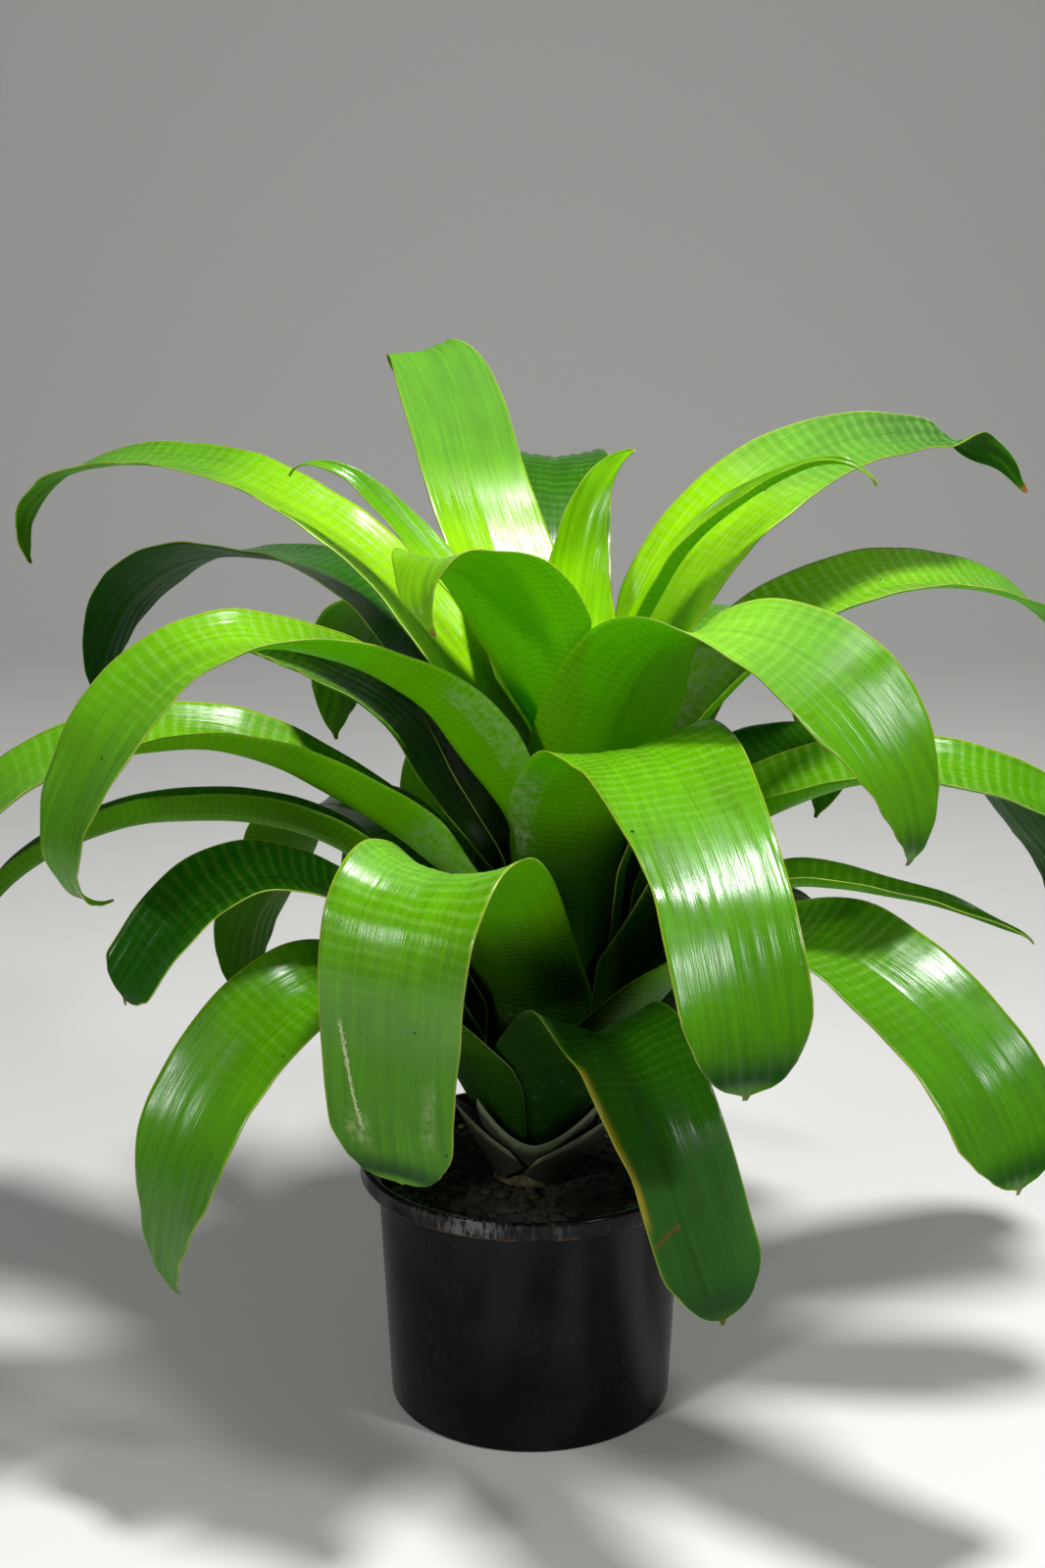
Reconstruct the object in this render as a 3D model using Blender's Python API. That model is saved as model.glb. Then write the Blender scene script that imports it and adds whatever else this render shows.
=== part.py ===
"""A large strap-leaved bromeliad in a squat black nursery pot, in metres, +Z up.

The origin is the centre of the pot's base, and -Y is the front. The pot, its soil, the short stem, the
old leaf bases and every leaf are solids of their own. All leaves come from one rule: a leaf starts on
the stem, its sheath flares out and wraps the rosette's axis, then it rises along that axis to its
throat, and from there its blade follows a curve of its own. Ranks count from the youngest leaf at the
heart to the oldest one, so each sheath lies just outside the sheath before it.
"""

import math

import bpy
import numpy as np

MM = 0.001

# The pot, a 200 mm class nursery pot
POT_HEIGHT = 0.149
BASE_RADIUS = 0.083
BODY_RADIUS = 0.0895
LIP_RADIUS = 0.100
LIP_HEIGHT = 0.0105
WALL = 0.0015
FLOOR = 0.0025
HOLE_RADIUS = 0.006
HOLE_CIRCLE = 0.062
HOLE_COUNT = 8

# The soil and the stem
SOIL_TOP = 0.136
SOIL_EDGE = 0.133
GAP = 0.0003
STEM_RADIUS = 0.022
STEM_TIP_RADIUS = 0.009
STEM_TAPER = 0.080
STEM_BOTTOM = 0.090
STEM_TOP = 0.220
LEAN = 0.10

# The rosette: how far sheaths step down the stem, flare and lie apart
ROOT_LOW = 0.010
ROOT_PITCH = 0.0021
FLARE_LEAST = 0.006
FLARE_PITCH = 0.0023
FLARE_SLOPE = 0.62
LAST_RANK = 32
BLADE_GAP = 0.001
FREE_LENGTH = 0.070
SHEATH_WIDENING = 1.15
WIDEST_WRAP = 1.1
ACROSS = 6
BLADE_STATIONS = [0, 0.06, 0.13, 0.21, 0.30, 0.39, 0.48, 0.57, 0.66, 0.75, 0.83, 0.90, 0.955, 1.0]
SHAPE_STOPS = [0.0, 0.35, 0.55, 0.8, 1.0]
FLAT_CUP = [90, 70, 50, 40, 30]
NO_ROLL = [0, 0, 0, 0, 0]
NO_TWIST = (0.9, 0)
TWIST_SPAN = 0.08
LEAST_HALF_WIDTH = 0.0012
CUT_CURVE = 1.6
SPAN_SAMPLES = 24


def leaf(
    name,
    azimuth,
    throat,
    path,
    width=74,
    point=0.16,
    blunt=0.62,
    wrap=WIDEST_WRAP,
    roll=NO_ROLL,
    cup=FLAT_CUP,
    twist=NO_TWIST,
):
    """One leaf's design, in millimetres and degrees.

    path holds (reach from the leaning axis, height) points, some with an azimuth of their own as a
    third number. width, roll and cup are given at SHAPE_STOPS, as shares of the leaf's length. point is
    the share over which the end narrows, and twist is where along it a last half turn starts and how far
    it goes.
    """
    widths = width if isinstance(width, list) else [width] * len(SHAPE_STOPS)
    return {
        "name": name,
        "azimuth": azimuth,
        "throat": throat and throat * MM,
        "path": [(*(p[2:] or (azimuth,)), p[0] * MM, p[1] * MM) for p in path],
        "width": [w * MM for w in widths],
        "point": point,
        "blunt": blunt,
        "wrap": wrap,
        "roll": roll,
        "cup": cup,
        "twist": twist,
    }


# From the heart outwards
LEAVES = [
    leaf(
        "leaf_01_heart", 215, 420,
        [(9, 452), (13, 474, 213), (18, 492, 211)],
        width=[36, 36, 34, 32, 30], point=0.6, blunt=0.7, cup=[200, 150, 120, 90, 60],
    ),
    leaf(
        "leaf_02_heart_tip", 110, 430,
        [(25, 458, 116), (32, 504, 109), (36, 533, 96), (41, 549, 81), (45, 556, 68)],
        width=[64, 84, 84, 66, 50], point=0.45, cup=[90, 110, 100, 90, 60],
    ),
    leaf(
        "leaf_03_right_narrow", 355, 430,
        [(30, 463), (50, 507, 353), (80, 536, 352), (108, 552, 351), (128, 555, 350), (148, 545, 350)],
        width=[50, 48, 46, 44, 40], point=0.36, roll=[0, 4, 6, 6, 0], cup=[90, 110, 110, 100, 80],
    ),
    leaf(
        "leaf_04_left_narrow", 168, 410,
        [(31, 449), (66, 472), (96, 499), (125, 527), (150, 544), (170, 548), (182, 543)],
        width=[50, 46, 50, 52, 40], point=0.5, roll=[0, 12, 0, -20, -10], cup=[100, 70, 60, 60, 60],
    ),
    leaf(
        "leaf_05_front_curled", 230, 395,
        [(34, 420, 224), (43, 442, 221), (60, 476, 221), (84, 500, 222), (108, 511, 223), (126, 513, 225),
         (136, 502, 227), (139, 490, 230), (137, 476, 233)],
        width=[80, 90, 98, 98, 92], point=0.2, blunt=1.0, wrap=0.85, roll=[0, 4, 8, 8, 0],
        cup=[130, 95, 50, 35, 30],
    ),
    leaf(
        "leaf_06_top_back", 118, 390,
        [(52, 430), (83, 460), (115, 490, 119), (153, 532, 119.5), (183, 568, 119.5), (213, 594, 119.5),
         (236, 599, 119), (250, 589, 118), (257, 572, 117)],
        width=[80, 76, 72, 66, 62], point=0.14, blunt=0.4, wrap=0.8, roll=[0, 0, 0, -6, -12],
        cup=[90, 65, 45, 25, 10],
    ),
    leaf(
        "leaf_07_right_high", 24, 375,
        [(40, 443), (58, 487), (85, 520), (124, 546), (165, 558), (209, 558), (240, 551), (262, 541),
         (280, 522)],
        width=[74, 72, 77, 58, 44], point=0.34, wrap=0.8, roll=[0, 3, 14, 30, 20], twist=(0.86, -110),
    ),
    leaf(
        "leaf_08_left_high", 160, 375,
        [(55, 405), (85, 440), (118, 476), (150, 501), (187, 521), (225, 536), (262, 542), (307, 540),
         (340, 529), (360, 506), (360, 477)],
        width=[72, 70, 64, 64, 60], roll=[0, -5, -6, -5, 0],
    ),
    leaf(
        "leaf_09_back_high", 98, 355,
        [(70, 403), (110, 450), (150, 493), (190, 522, 97), (225, 531, 96), (255, 520, 96), (280, 495, 96)],
        width=[72, 62, 66, 72, 72], cup=[90, 80, 50, 40, 30],
    ),
    leaf(
        "leaf_10_front_right_high", 280, 365,
        [(48, 428, 292), (63, 461, 305), (90, 471, 316), (130, 463, 322), (167, 438, 325),
         (194, 407, 326), (206, 375, 327), (208, 356, 327)],
        width=[80, 80, 78, 74, 74], roll=[0, -18, -8, 24, 20], cup=[90, 80, 38, 35, 30],
    ),
    leaf(
        "leaf_11_front_left_high", 205, 345,
        [(64, 392), (86, 418), (112, 438), (140, 453), (170, 463), (205, 468), (240, 457), (264, 434),
         (280, 406), (289, 378), (288, 357), (279, 342), (262, 335)],
        width=[76, 76, 72, 72, 74], roll=[0, 14, 2, -12, -8], cup=[90, 120, 90, 34, 30],
    ),
    leaf(
        "leaf_12_front_broad", 276, 341,
        [(58, 388, 281.5), (78, 410, 286.5), (110, 414, 289), (155, 399, 289), (200, 374, 289),
         (226, 350, 289), (248, 315, 289.5), (256, 278, 290)],
        width=[81, 90, 86, 68, 68], point=0.07, blunt=0.36, roll=[0, 2, 10, 8, 0], cup=[90, 52, 20, 25, 25],
    ),
    leaf(
        "leaf_13_right_long", 18, 325,
        [(68, 400), (95, 434), (122, 456), (155, 470), (193, 477), (235, 473), (276, 458), (310, 429),
         (335, 390), (345, 350)],
        width=[72, 72, 76, 76, 76], wrap=0.9, roll=[0, 3, 9, 8, 0], cup=[90, 110, 72, 40, 30],
    ),
    leaf(
        "leaf_14_back_left_long", 147, 330,
        [(75, 387), (110, 430), (150, 463), (190, 478), (230, 481), (268, 479), (307, 467), (340, 441),
         (356, 408), (359, 372)],
        roll=[0, -4, 0, 10, 0],
    ),
    leaf(
        "leaf_15_left_short", 167, 315,
        [(75, 365), (106, 404), (150, 428), (180, 437), (205, 441)],
        width=70, roll=[0, -5, -5, 0, 0],
    ),
    leaf(
        "leaf_16_back_right", 50, 310,
        [(80, 380), (115, 420), (160, 440), (205, 430), (245, 395), (270, 345), (270, 295)],
    ),
    leaf(
        "leaf_17_left_long", 190, 298,
        [(84, 336), (112, 357), (140, 375), (169, 391), (200, 401), (232, 404), (265, 401), (300, 389),
         (325, 366), (340, 331), (345, 290)],
        width=[72, 80, 84, 78, 76], wrap=0.9, roll=[0, 8, 1, -8, 0], cup=[90, 135, 105, 40, 30],
    ),
    leaf(
        "leaf_18_front_left_hanging", 245, 255,
        [(85, 306), (122, 343), (150, 360), (175, 362), (194, 349), (202, 321), (200, 287), (194, 252),
         (184, 220), (175, 197)],
        width=[76, 84, 91, 77, 66], point=0.07, blunt=0.32, cup=[90, 80, 68, 20, 20],
    ),
    leaf(
        "leaf_19_right_middle", 357, 280,
        [(88, 340), (115, 358), (135, 368), (158, 376), (188, 380), (215, 378), (242, 372), (272, 360),
         (300, 337), (316, 304)],
        width=[80, 90, 82, 74, 74], roll=[0, 0, 4, 9, 0], cup=[90, 150, 100, 45, 30],
    ),
    leaf(
        "leaf_20_back_left_middle", 124, 270,
        [(81, 360), (117, 410), (160, 440), (205, 444), (240, 426), (262, 390), (268, 345)],
        width=[72, 56, 66, 72, 72], cup=[90, 90, 60, 40, 30],
    ),
    leaf(
        "leaf_21_back_middle", 78, 250,
        [(91, 340), (122, 382), (160, 405), (205, 395), (245, 360), (270, 310), (270, 260)],
    ),
    leaf(
        "leaf_22_left_low", 186, 253,
        [(101, 318), (122, 335), (150, 349), (180, 356), (215, 358), (250, 355), (298, 333), (326, 302),
         (343, 258)],
        width=[72, 62, 62, 48, 50], wrap=0.9, roll=[0, 8, 10, 6, 0], cup=[90, 110, 130, 110, 60],
    ),
    leaf(
        "leaf_23_right_slim", 350, 245,
        [(104, 304), (130, 319), (153, 320), (181, 317), (209, 313), (236, 306), (268, 295)],
        width=[56, 54, 54, 50, 48], point=0.5, roll=[0, 0, 0, 0, 0], cup=[90, 120, 115, 85, 50],
    ),
    leaf(
        "leaf_24_back_left_low", 106, 240,
        [(93, 306), (122, 350), (160, 373), (200, 364), (235, 330), (260, 280), (262, 230)],
    ),
    leaf(
        "leaf_25_front_right_low", 320, 235,
        [(95, 281), (138, 306), (176, 315), (213, 304), (248, 285), (280, 260), (299, 234), (309, 211)],
        width=[80, 88, 86, 78, 80], point=0.07, blunt=0.42, roll=[0, 6, 6, 12, 10],
    ),
    leaf(
        "leaf_26_left_drooping", 203, 235,
        [(105, 303), (147, 330), (182, 341), (208, 334), (229, 315), (244, 293), (253, 276)],
        width=[62, 58, 56, 60, 62], point=0.03, blunt=0.35, roll=[0, -5, -10, -14, -10],
    ),
    leaf(
        "leaf_27_back_right_low", 52, 220,
        [(82, 290, 46), (118, 342, 38), (150, 368, 33), (200, 370, 30), (250, 361, 29), (296, 340, 28),
         (335, 305, 28), (370, 268, 28), (386, 225, 28)],
    ),
    leaf(
        "leaf_28_front_low", 272, None,
        [(90, 253, 277), (115, 269, 282), (150, 266, 285), (182, 252, 286), (208, 228, 288),
         (230, 203, 289), (245, 178, 290.5), (252, 158, 291.5)],
        width=[70, 72, 66, 55, 54], point=0.07, blunt=0.42, roll=[0, -2, 8, 6, -8],
        cup=[90, 75, 30, 35, 30],
    ),
    leaf(
        "leaf_29_back_left_outer", 142, None,
        [(80, 270), (115, 310), (160, 330), (205, 320), (215, 285), (240, 235), (240, 185)],
    ),
    leaf(
        "leaf_30_front_left_low", 218, None,
        [(116, 270), (156, 286), (188, 276), (213, 250, 217), (232, 218, 217), (240, 185, 217),
         (242, 155, 217), (237, 128, 217)],
        width=[72, 76, 72, 68, 60], point=0.2, roll=[0, -8, -14, -14, -8],
    ),
    leaf(
        "leaf_31_back_outer", 88, None,
        [(80, 265), (115, 305), (160, 325), (205, 315), (225, 280), (250, 230), (250, 180)],
    ),
    leaf(
        "leaf_32_right_short", 20, None,
        [(87, 252), (115, 276), (150, 283), (178, 272), (195, 248)],
        width=66,
    ),
    leaf(
        "leaf_33_back_left_last", 120, None,
        [(80, 240), (115, 280), (160, 300), (205, 290), (210, 255), (235, 205), (235, 155)],
        width=66,
    ),
]

# What is left of the oldest leaves: azimuth, rank after the last leaf, height of the cut in its middle
# and at its margins, width. The front one is cut deep in the middle, and the others have worn round.
OLD_BASES = [
    ("old_leaf_base_front", 268, 1, 0.024, 0.056, 0.076),
    ("old_leaf_base_right", 325, 4, 0.046, 0.022, 0.066),
    ("old_leaf_base_left", 196, 3, 0.050, 0.024, 0.066),
    ("old_leaf_base_back", 45, 2, 0.040, 0.018, 0.066),
]

HEART_GREEN = (0.36, 0.60, 0.05)
OUTER_GREEN = (0.10, 0.30, 0.02)
POT_BLACK = (0.012, 0.012, 0.013)
SOIL_BROWN = (0.030, 0.022, 0.015)
STEM_BROWN = (0.20, 0.17, 0.09)
OLD_BASE_GREEN = (0.25, 0.29, 0.15)


def clear_scene():
    for thing in list(bpy.data.objects):
        bpy.data.objects.remove(thing, do_unlink=True)


def plain_material(name, colour, roughness, metallic=0.0):
    made = bpy.data.materials.new(name)
    made.use_nodes = True
    shader = made.node_tree.nodes["Principled BSDF"]
    shader.inputs["Base Color"].default_value = (*colour, 1)
    shader.inputs["Roughness"].default_value = roughness
    shader.inputs["Metallic"].default_value = metallic
    made.diffuse_color = (*colour, 1)
    return made


def add_object(name, points, faces, colour, roughness, sharp_angle=35):
    mesh = bpy.data.meshes.new(name)
    mesh.from_pydata([tuple(p) for p in points], [], faces)
    mesh.validate()
    mesh.shade_smooth()
    mesh.set_sharp_from_angle(angle=math.radians(sharp_angle))
    mesh.materials.append(plain_material(name, colour, roughness))
    made = bpy.data.objects.new(name, mesh)
    bpy.context.scene.collection.objects.link(made)
    return made


def axis_shift(z):
    """How far the leaning rosette's axis has moved towards +X at a height."""
    return LEAN * np.maximum(0, z - SOIL_TOP)


def stem_radius(z):
    taper = np.clip((z - SOIL_TOP) / STEM_TAPER, 0, 1)
    return STEM_RADIUS + (STEM_TIP_RADIUS - STEM_RADIUS) * taper


def turned(name, profile, segments, colour, roughness, leaning=False):
    """A body turned about the axis from (radius, height) points that start and end on the axis."""
    points = [(axis_shift(profile[0][1]) if leaning else 0, 0, profile[0][1])]
    rings = []
    for radius, height in profile[1:-1]:
        shift = axis_shift(height) if leaning else 0
        rings.append(len(points))
        for k in range(segments):
            angle = 2 * math.pi * k / segments
            points.append((radius * math.cos(angle) + shift, radius * math.sin(angle), height))
    last = len(points)
    points.append((axis_shift(profile[-1][1]) if leaning else 0, 0, profile[-1][1]))
    faces = []
    for k in range(segments):
        following = (k + 1) % segments
        faces.append((0, rings[0] + following, rings[0] + k))
        for low, high in zip(rings, rings[1:]):
            faces.append((low + k, low + following, high + following, high + k))
        faces.append((last, rings[-1] + k, rings[-1] + following))
    return add_object(name, points, faces, colour, roughness)


def build_pot():
    lip_foot = POT_HEIGHT - LIP_HEIGHT
    profile = [
        (0, 0),
        (BASE_RADIUS - 0.002, 0),
        (BASE_RADIUS, 0.002),
        (BODY_RADIUS, lip_foot - 0.003),
        (BODY_RADIUS + 0.0015, lip_foot - 0.001),
        (LIP_RADIUS - 0.0012, lip_foot),
        (LIP_RADIUS, lip_foot + 0.0012),
        (LIP_RADIUS, POT_HEIGHT - 0.0012),
        (LIP_RADIUS - 0.0012, POT_HEIGHT),
        (LIP_RADIUS - 0.0036, POT_HEIGHT),
        (LIP_RADIUS - 0.0048, POT_HEIGHT - 0.0012),
        (LIP_RADIUS - 0.0048, lip_foot + 0.003),
        (BODY_RADIUS - WALL + 0.0012, lip_foot + 0.0012),
        (BODY_RADIUS - WALL, lip_foot - 0.002),
        (BASE_RADIUS - WALL, FLOOR),
        (0, FLOOR),
    ]
    pot = turned("pot", profile, 48, POT_BLACK, 0.32)
    for k in range(HOLE_COUNT):
        angle = 2 * math.pi * (k + 0.5) / HOLE_COUNT
        place = (HOLE_CIRCLE * math.cos(angle), HOLE_CIRCLE * math.sin(angle), FLOOR / 2)
        cutter = turned(
            f"drain_cutter_{k + 1}",
            [(0, -0.004), (HOLE_RADIUS, -0.004), (HOLE_RADIUS, 0.004), (0, 0.004)],
            12,
            POT_BLACK,
            0.5,
        )
        cutter.location = place
        cutter.hide_render = True
        cutter.display_type = "WIRE"
        cut = pot.modifiers.new(f"drain_hole_{k + 1}", "BOOLEAN")
        cut.operation = "DIFFERENCE"
        cut.object = cutter


def wall_radius(z):
    """The inner wall's radius at a height, below the lip."""
    rise = (z - FLOOR) / (POT_HEIGHT - LIP_HEIGHT - 0.002 - FLOOR)
    return BASE_RADIUS - WALL + (BODY_RADIUS - BASE_RADIUS) * rise


def build_soil_and_stem():
    bottom = FLOOR + GAP
    hole = STEM_RADIUS + GAP
    soil = [
        (0, bottom),
        (wall_radius(bottom) - 2 * GAP, bottom),
        (wall_radius(SOIL_EDGE) - 2 * GAP, SOIL_EDGE),
        (0.060, SOIL_EDGE + 0.7 * (SOIL_TOP - SOIL_EDGE)),
        (hole, SOIL_TOP),
        (hole, STEM_BOTTOM - GAP),
        (0, STEM_BOTTOM - GAP),
    ]
    turned("soil", soil, 48, SOIL_BROWN, 0.95)
    stem = [(0, STEM_BOTTOM), (STEM_RADIUS - 0.004, STEM_BOTTOM), (STEM_RADIUS, STEM_BOTTOM + 0.004)]
    for z in np.linspace(SOIL_TOP, STEM_TOP - 0.004, 5):
        stem.append((float(stem_radius(z)), float(z)))
    stem += [(STEM_TIP_RADIUS * 0.6, STEM_TOP - 0.001), (0, STEM_TOP)]
    turned("stem", stem, 24, STEM_BROWN, 0.85, leaning=True)


def smooth_step(t):
    t = np.clip(t, 0, 1)
    return t * t * (3 - 2 * t)


def smooth_curve(points, before):
    """A smooth curve through the points. before is a point behind the first that sets how it starts."""
    held = np.vstack([before, points, 2 * points[-1] - points[-2]])
    found = []
    for a, b, c, d in zip(held[:-3], held[1:-2], held[2:-1], held[3:]):
        t1 = math.sqrt(np.linalg.norm(b - a))
        t2 = t1 + math.sqrt(np.linalg.norm(c - b))
        t3 = t2 + math.sqrt(np.linalg.norm(d - c))
        for t in np.linspace(t1, t2, SPAN_SAMPLES, endpoint=False):
            ab = a + (b - a) * t / t1
            bc = b + (c - b) * (t - t1) / (t2 - t1)
            cd = c + (d - c) * (t - t2) / (t3 - t2)
            left = ab + (bc - ab) * t / t2
            right = bc + (cd - bc) * (t - t1) / (t3 - t1)
            found.append(left + (right - left) * (t - t1) / (t2 - t1))
    found.append(points[-1])
    return np.array(found)


def root_of(rank):
    """(radius, height) where the leaf of a rank grows from the stem, and how long its sheath flares."""
    height = SOIL_TOP + ROOT_LOW + ROOT_PITCH * (LAST_RANK - rank)
    return float(stem_radius(height)) + BLADE_GAP, height, FLARE_LEAST + FLARE_PITCH * rank


def on_axis(azimuth, reach, z):
    angle = math.radians(azimuth)
    return np.array([reach * math.cos(angle) + axis_shift(z), reach * math.sin(angle), z])


def middle_surface(design, rank, stations, across):
    """The leaf's middle surface and its normals, as grids of rows along it and points across it."""
    radius, foot, flare = root_of(rank)
    azimuth = design["azimuth"]
    wall = radius + FLARE_SLOPE * flare
    corners = [(azimuth, radius, foot), (azimuth, wall, foot + flare)]
    if design["throat"]:
        corners.append((azimuth, wall, design["throat"]))
    base = np.array([on_axis(*p) for p in corners])
    free = [corners[-1]] + design["path"]
    curve = smooth_curve(np.array([on_axis(*p) for p in free]), 0.3 * base[-2] + 0.7 * base[-1])
    line = np.vstack([base[:-1], curve])
    run = np.concatenate([[0], np.cumsum(np.linalg.norm(np.diff(line, axis=0), axis=1))])
    total = run[-1]
    at_corner = run[: len(base)]
    throat = at_corner[-1]
    s = np.concatenate([at_corner[:-1], throat + (total - throat) * np.array(stations)]) / total

    def at(t):
        t = np.clip(t, 0, 1) * total
        return np.stack([np.interp(t, run, line[:, i]) for i in range(3)], -1)

    middle = at(s)
    at_point = np.concatenate([at_corner[:-1], run[len(base) - 1 :: SPAN_SAMPLES]])
    phi = np.interp(s * total, at_point, np.radians([p[0] for p in corners[:-1] + free]))
    tangent = at(s + 0.01) - at(s - 0.01)
    tangent /= np.linalg.norm(tangent, axis=1)[:, None]
    side = np.stack([-np.sin(phi), np.cos(phi), 0 * phi], -1)
    side -= np.sum(tangent * side, axis=1)[:, None] * tangent
    side /= np.linalg.norm(side, axis=1)[:, None]
    upper = np.cross(tangent, side)
    twist_start, twist_angle = design["twist"]
    roll = np.interp(s, SHAPE_STOPS, design["roll"])
    roll += twist_angle * smooth_step((s - twist_start) / TWIST_SPAN)
    roll = np.radians(roll)[:, None]
    cup = np.radians(np.interp(s, SHAPE_STOPS, design["cup"]))[:, None]
    side, upper = side * np.cos(roll) + upper * np.sin(roll), upper * np.cos(roll) - side * np.sin(roll)

    widening = (SHEATH_WIDENING - 1) * (1 - smooth_step((s - 0.05) / 0.3))
    half = 0.5 * np.interp(s, SHAPE_STOPS, design["width"]) * (1 + widening)
    half *= 0.45 + 0.55 * smooth_step(s * total / max(at_corner[1], 0.04))
    half *= np.clip((1 - s) / design["point"], 0, 1) ** design["blunt"]
    shift = axis_shift(middle[:, 2])
    reach = np.hypot(middle[:, 0] - shift, middle[:, 1])
    half = np.maximum(np.minimum(half, design["wrap"] * reach), LEAST_HALF_WIDTH)[:, None]

    v = np.linspace(-1, 1, across + 1)[None, :]
    bend = v * cup / 2
    arc = 2 * half / cup
    blade = middle[:, None, :] + side[:, None, :] * (arc * np.sin(bend))[..., None]
    blade += upper[:, None, :] * (arc * (1 - np.cos(bend)))[..., None]
    turn = np.arctan2(middle[:, 1], middle[:, 0] - shift)[:, None] + v * half / reach[:, None]
    height = np.repeat(middle[:, 2:3], across + 1, axis=1)
    sheath = np.stack(
        [reach[:, None] * np.cos(turn) + shift[:, None], reach[:, None] * np.sin(turn), height], -1
    )
    blend = smooth_step((s * total - throat) / FREE_LENGTH)[:, None, None]
    grid = (1 - blend) * sheath + blend * blade
    normal = np.cross(np.gradient(grid, axis=0), np.gradient(grid, axis=1))
    normal /= np.linalg.norm(normal, axis=2)[..., None]
    return grid, normal, s


def thick_blade(grid, normal, s):
    """A closed blade about 0.7 mm thick, split into triangles alike on both faces."""
    thickness = np.interp(s, [0, 0.15, 0.7, 1], [0.00065, 0.0007, 0.0007, 0.00065])[:, None, None]
    rows, columns = grid.shape[:2]
    points = np.concatenate(
        [(grid + normal * thickness / 2).reshape(-1, 3), (grid - normal * thickness / 2).reshape(-1, 3)]
    )
    below = rows * columns
    faces = []
    for i in range(rows - 1):
        for j in range(columns - 1):
            a = i * columns + j
            b = a + 1
            c = b + columns
            d = a + columns
            pair = [(a, b, c), (a, c, d)] if (i + j) % 2 else [(a, b, d), (b, c, d)]
            for p, q, r in pair:
                faces.append((p, q, r))
                faces.append((r + below, q + below, p + below))
    rim = [i * columns for i in range(rows)]
    rim += [(rows - 1) * columns + j for j in range(1, columns)]
    rim += [i * columns + columns - 1 for i in range(rows - 2, -1, -1)]
    rim += [j for j in range(columns - 2, 0, -1)]
    for a, b in zip(rim, rim[1:] + rim[:1]):
        faces.append((a, b, b + below))
        faces.append((a, b + below, a + below))
    corner = points[np.array(faces)]
    if np.einsum("ij,ij->i", corner[:, 0], np.cross(corner[:, 1], corner[:, 2])).sum() < 0:
        faces = [face[::-1] for face in faces]
    return points, faces


def build_leaves():
    for rank, design in enumerate(LEAVES):
        grid, normal, s = middle_surface(design, rank, BLADE_STATIONS, ACROSS)
        points, faces = thick_blade(grid, normal, s)
        age = min(1, rank / 12)
        colour = tuple(h + (o - h) * age for h, o in zip(HEART_GREEN, OUTER_GREEN))
        add_object(design["name"], points, faces, colour, 0.38, sharp_angle=60)


def old_base_surface(azimuth, radius, foot, middle_cut, margin_cut, width):
    """A crescent of sheath on the flare's cone. Its upper edge runs from margin to margin by way of
    the middle cut."""
    s = np.array([0, 0.2, 0.4, 0.6, 0.8, 1.0])[:, None]
    v = np.linspace(-1, 1, ACROSS + 1)[None, :]
    height = s * (middle_cut + (margin_cut - middle_cut) * np.abs(v) ** CUT_CURVE)
    reach = radius + FLARE_SLOPE * height
    half = 0.5 * width * (0.45 + 0.55 * smooth_step(s / 0.5))
    half = np.minimum(half, WIDEST_WRAP * (radius + FLARE_SLOPE * middle_cut * s))
    turn = math.radians(azimuth) + v * half / reach
    z = foot + height
    shift = axis_shift(z)
    grid = np.stack([reach * np.cos(turn) + shift, reach * np.sin(turn), z], -1)
    normal = np.cross(np.gradient(grid, axis=0), np.gradient(grid, axis=1))
    normal /= np.linalg.norm(normal, axis=2)[..., None]
    return grid, normal, s[:, 0]


def build_old_bases():
    for name, azimuth, after, middle_cut, margin_cut, width in OLD_BASES:
        radius, foot, _ = root_of(LAST_RANK + after)
        surface = old_base_surface(azimuth, radius, foot, middle_cut, margin_cut, width)
        points, faces = thick_blade(*surface)
        add_object(name, points, faces, OLD_BASE_GREEN, 0.7, sharp_angle=60)


clear_scene()
build_pot()
build_soil_and_stem()
build_leaves()
build_old_bases()
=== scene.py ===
# %% [markdown]
# # A potted bromeliad, dressed leaf by leaf
#
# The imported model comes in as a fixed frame: a pot, its soil, a short stem, thirty-three plain leaf
# solids and four old leaf bases. This lesson keeps every one of them where it is and gives it the
# look of the living plant. Each leaf is drawn again from the same rule that made its solid, with many
# more points, so that it has room for pleats, a channelled midrib, wavy margins and a small tip.

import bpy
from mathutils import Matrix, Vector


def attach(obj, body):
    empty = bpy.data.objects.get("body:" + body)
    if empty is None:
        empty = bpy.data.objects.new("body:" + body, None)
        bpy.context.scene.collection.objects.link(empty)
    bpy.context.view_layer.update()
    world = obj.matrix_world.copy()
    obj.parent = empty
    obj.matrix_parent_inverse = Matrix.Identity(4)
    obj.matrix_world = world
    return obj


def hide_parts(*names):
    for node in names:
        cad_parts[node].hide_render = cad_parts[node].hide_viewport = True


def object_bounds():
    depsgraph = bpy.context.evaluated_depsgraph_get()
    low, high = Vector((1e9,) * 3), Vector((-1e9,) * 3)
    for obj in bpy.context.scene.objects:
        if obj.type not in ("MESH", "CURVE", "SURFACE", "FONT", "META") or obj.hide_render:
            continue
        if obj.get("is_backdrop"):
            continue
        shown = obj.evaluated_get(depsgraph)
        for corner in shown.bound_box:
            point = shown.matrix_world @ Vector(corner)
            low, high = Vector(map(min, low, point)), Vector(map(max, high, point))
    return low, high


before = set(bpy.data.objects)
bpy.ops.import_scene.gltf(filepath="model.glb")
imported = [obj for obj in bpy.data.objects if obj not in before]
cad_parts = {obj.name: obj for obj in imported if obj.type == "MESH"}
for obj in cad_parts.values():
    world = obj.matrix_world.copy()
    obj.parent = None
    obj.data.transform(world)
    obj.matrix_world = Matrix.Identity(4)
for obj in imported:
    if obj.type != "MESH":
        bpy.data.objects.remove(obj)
cad_box = [list(corner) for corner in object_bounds()]

import math

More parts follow.
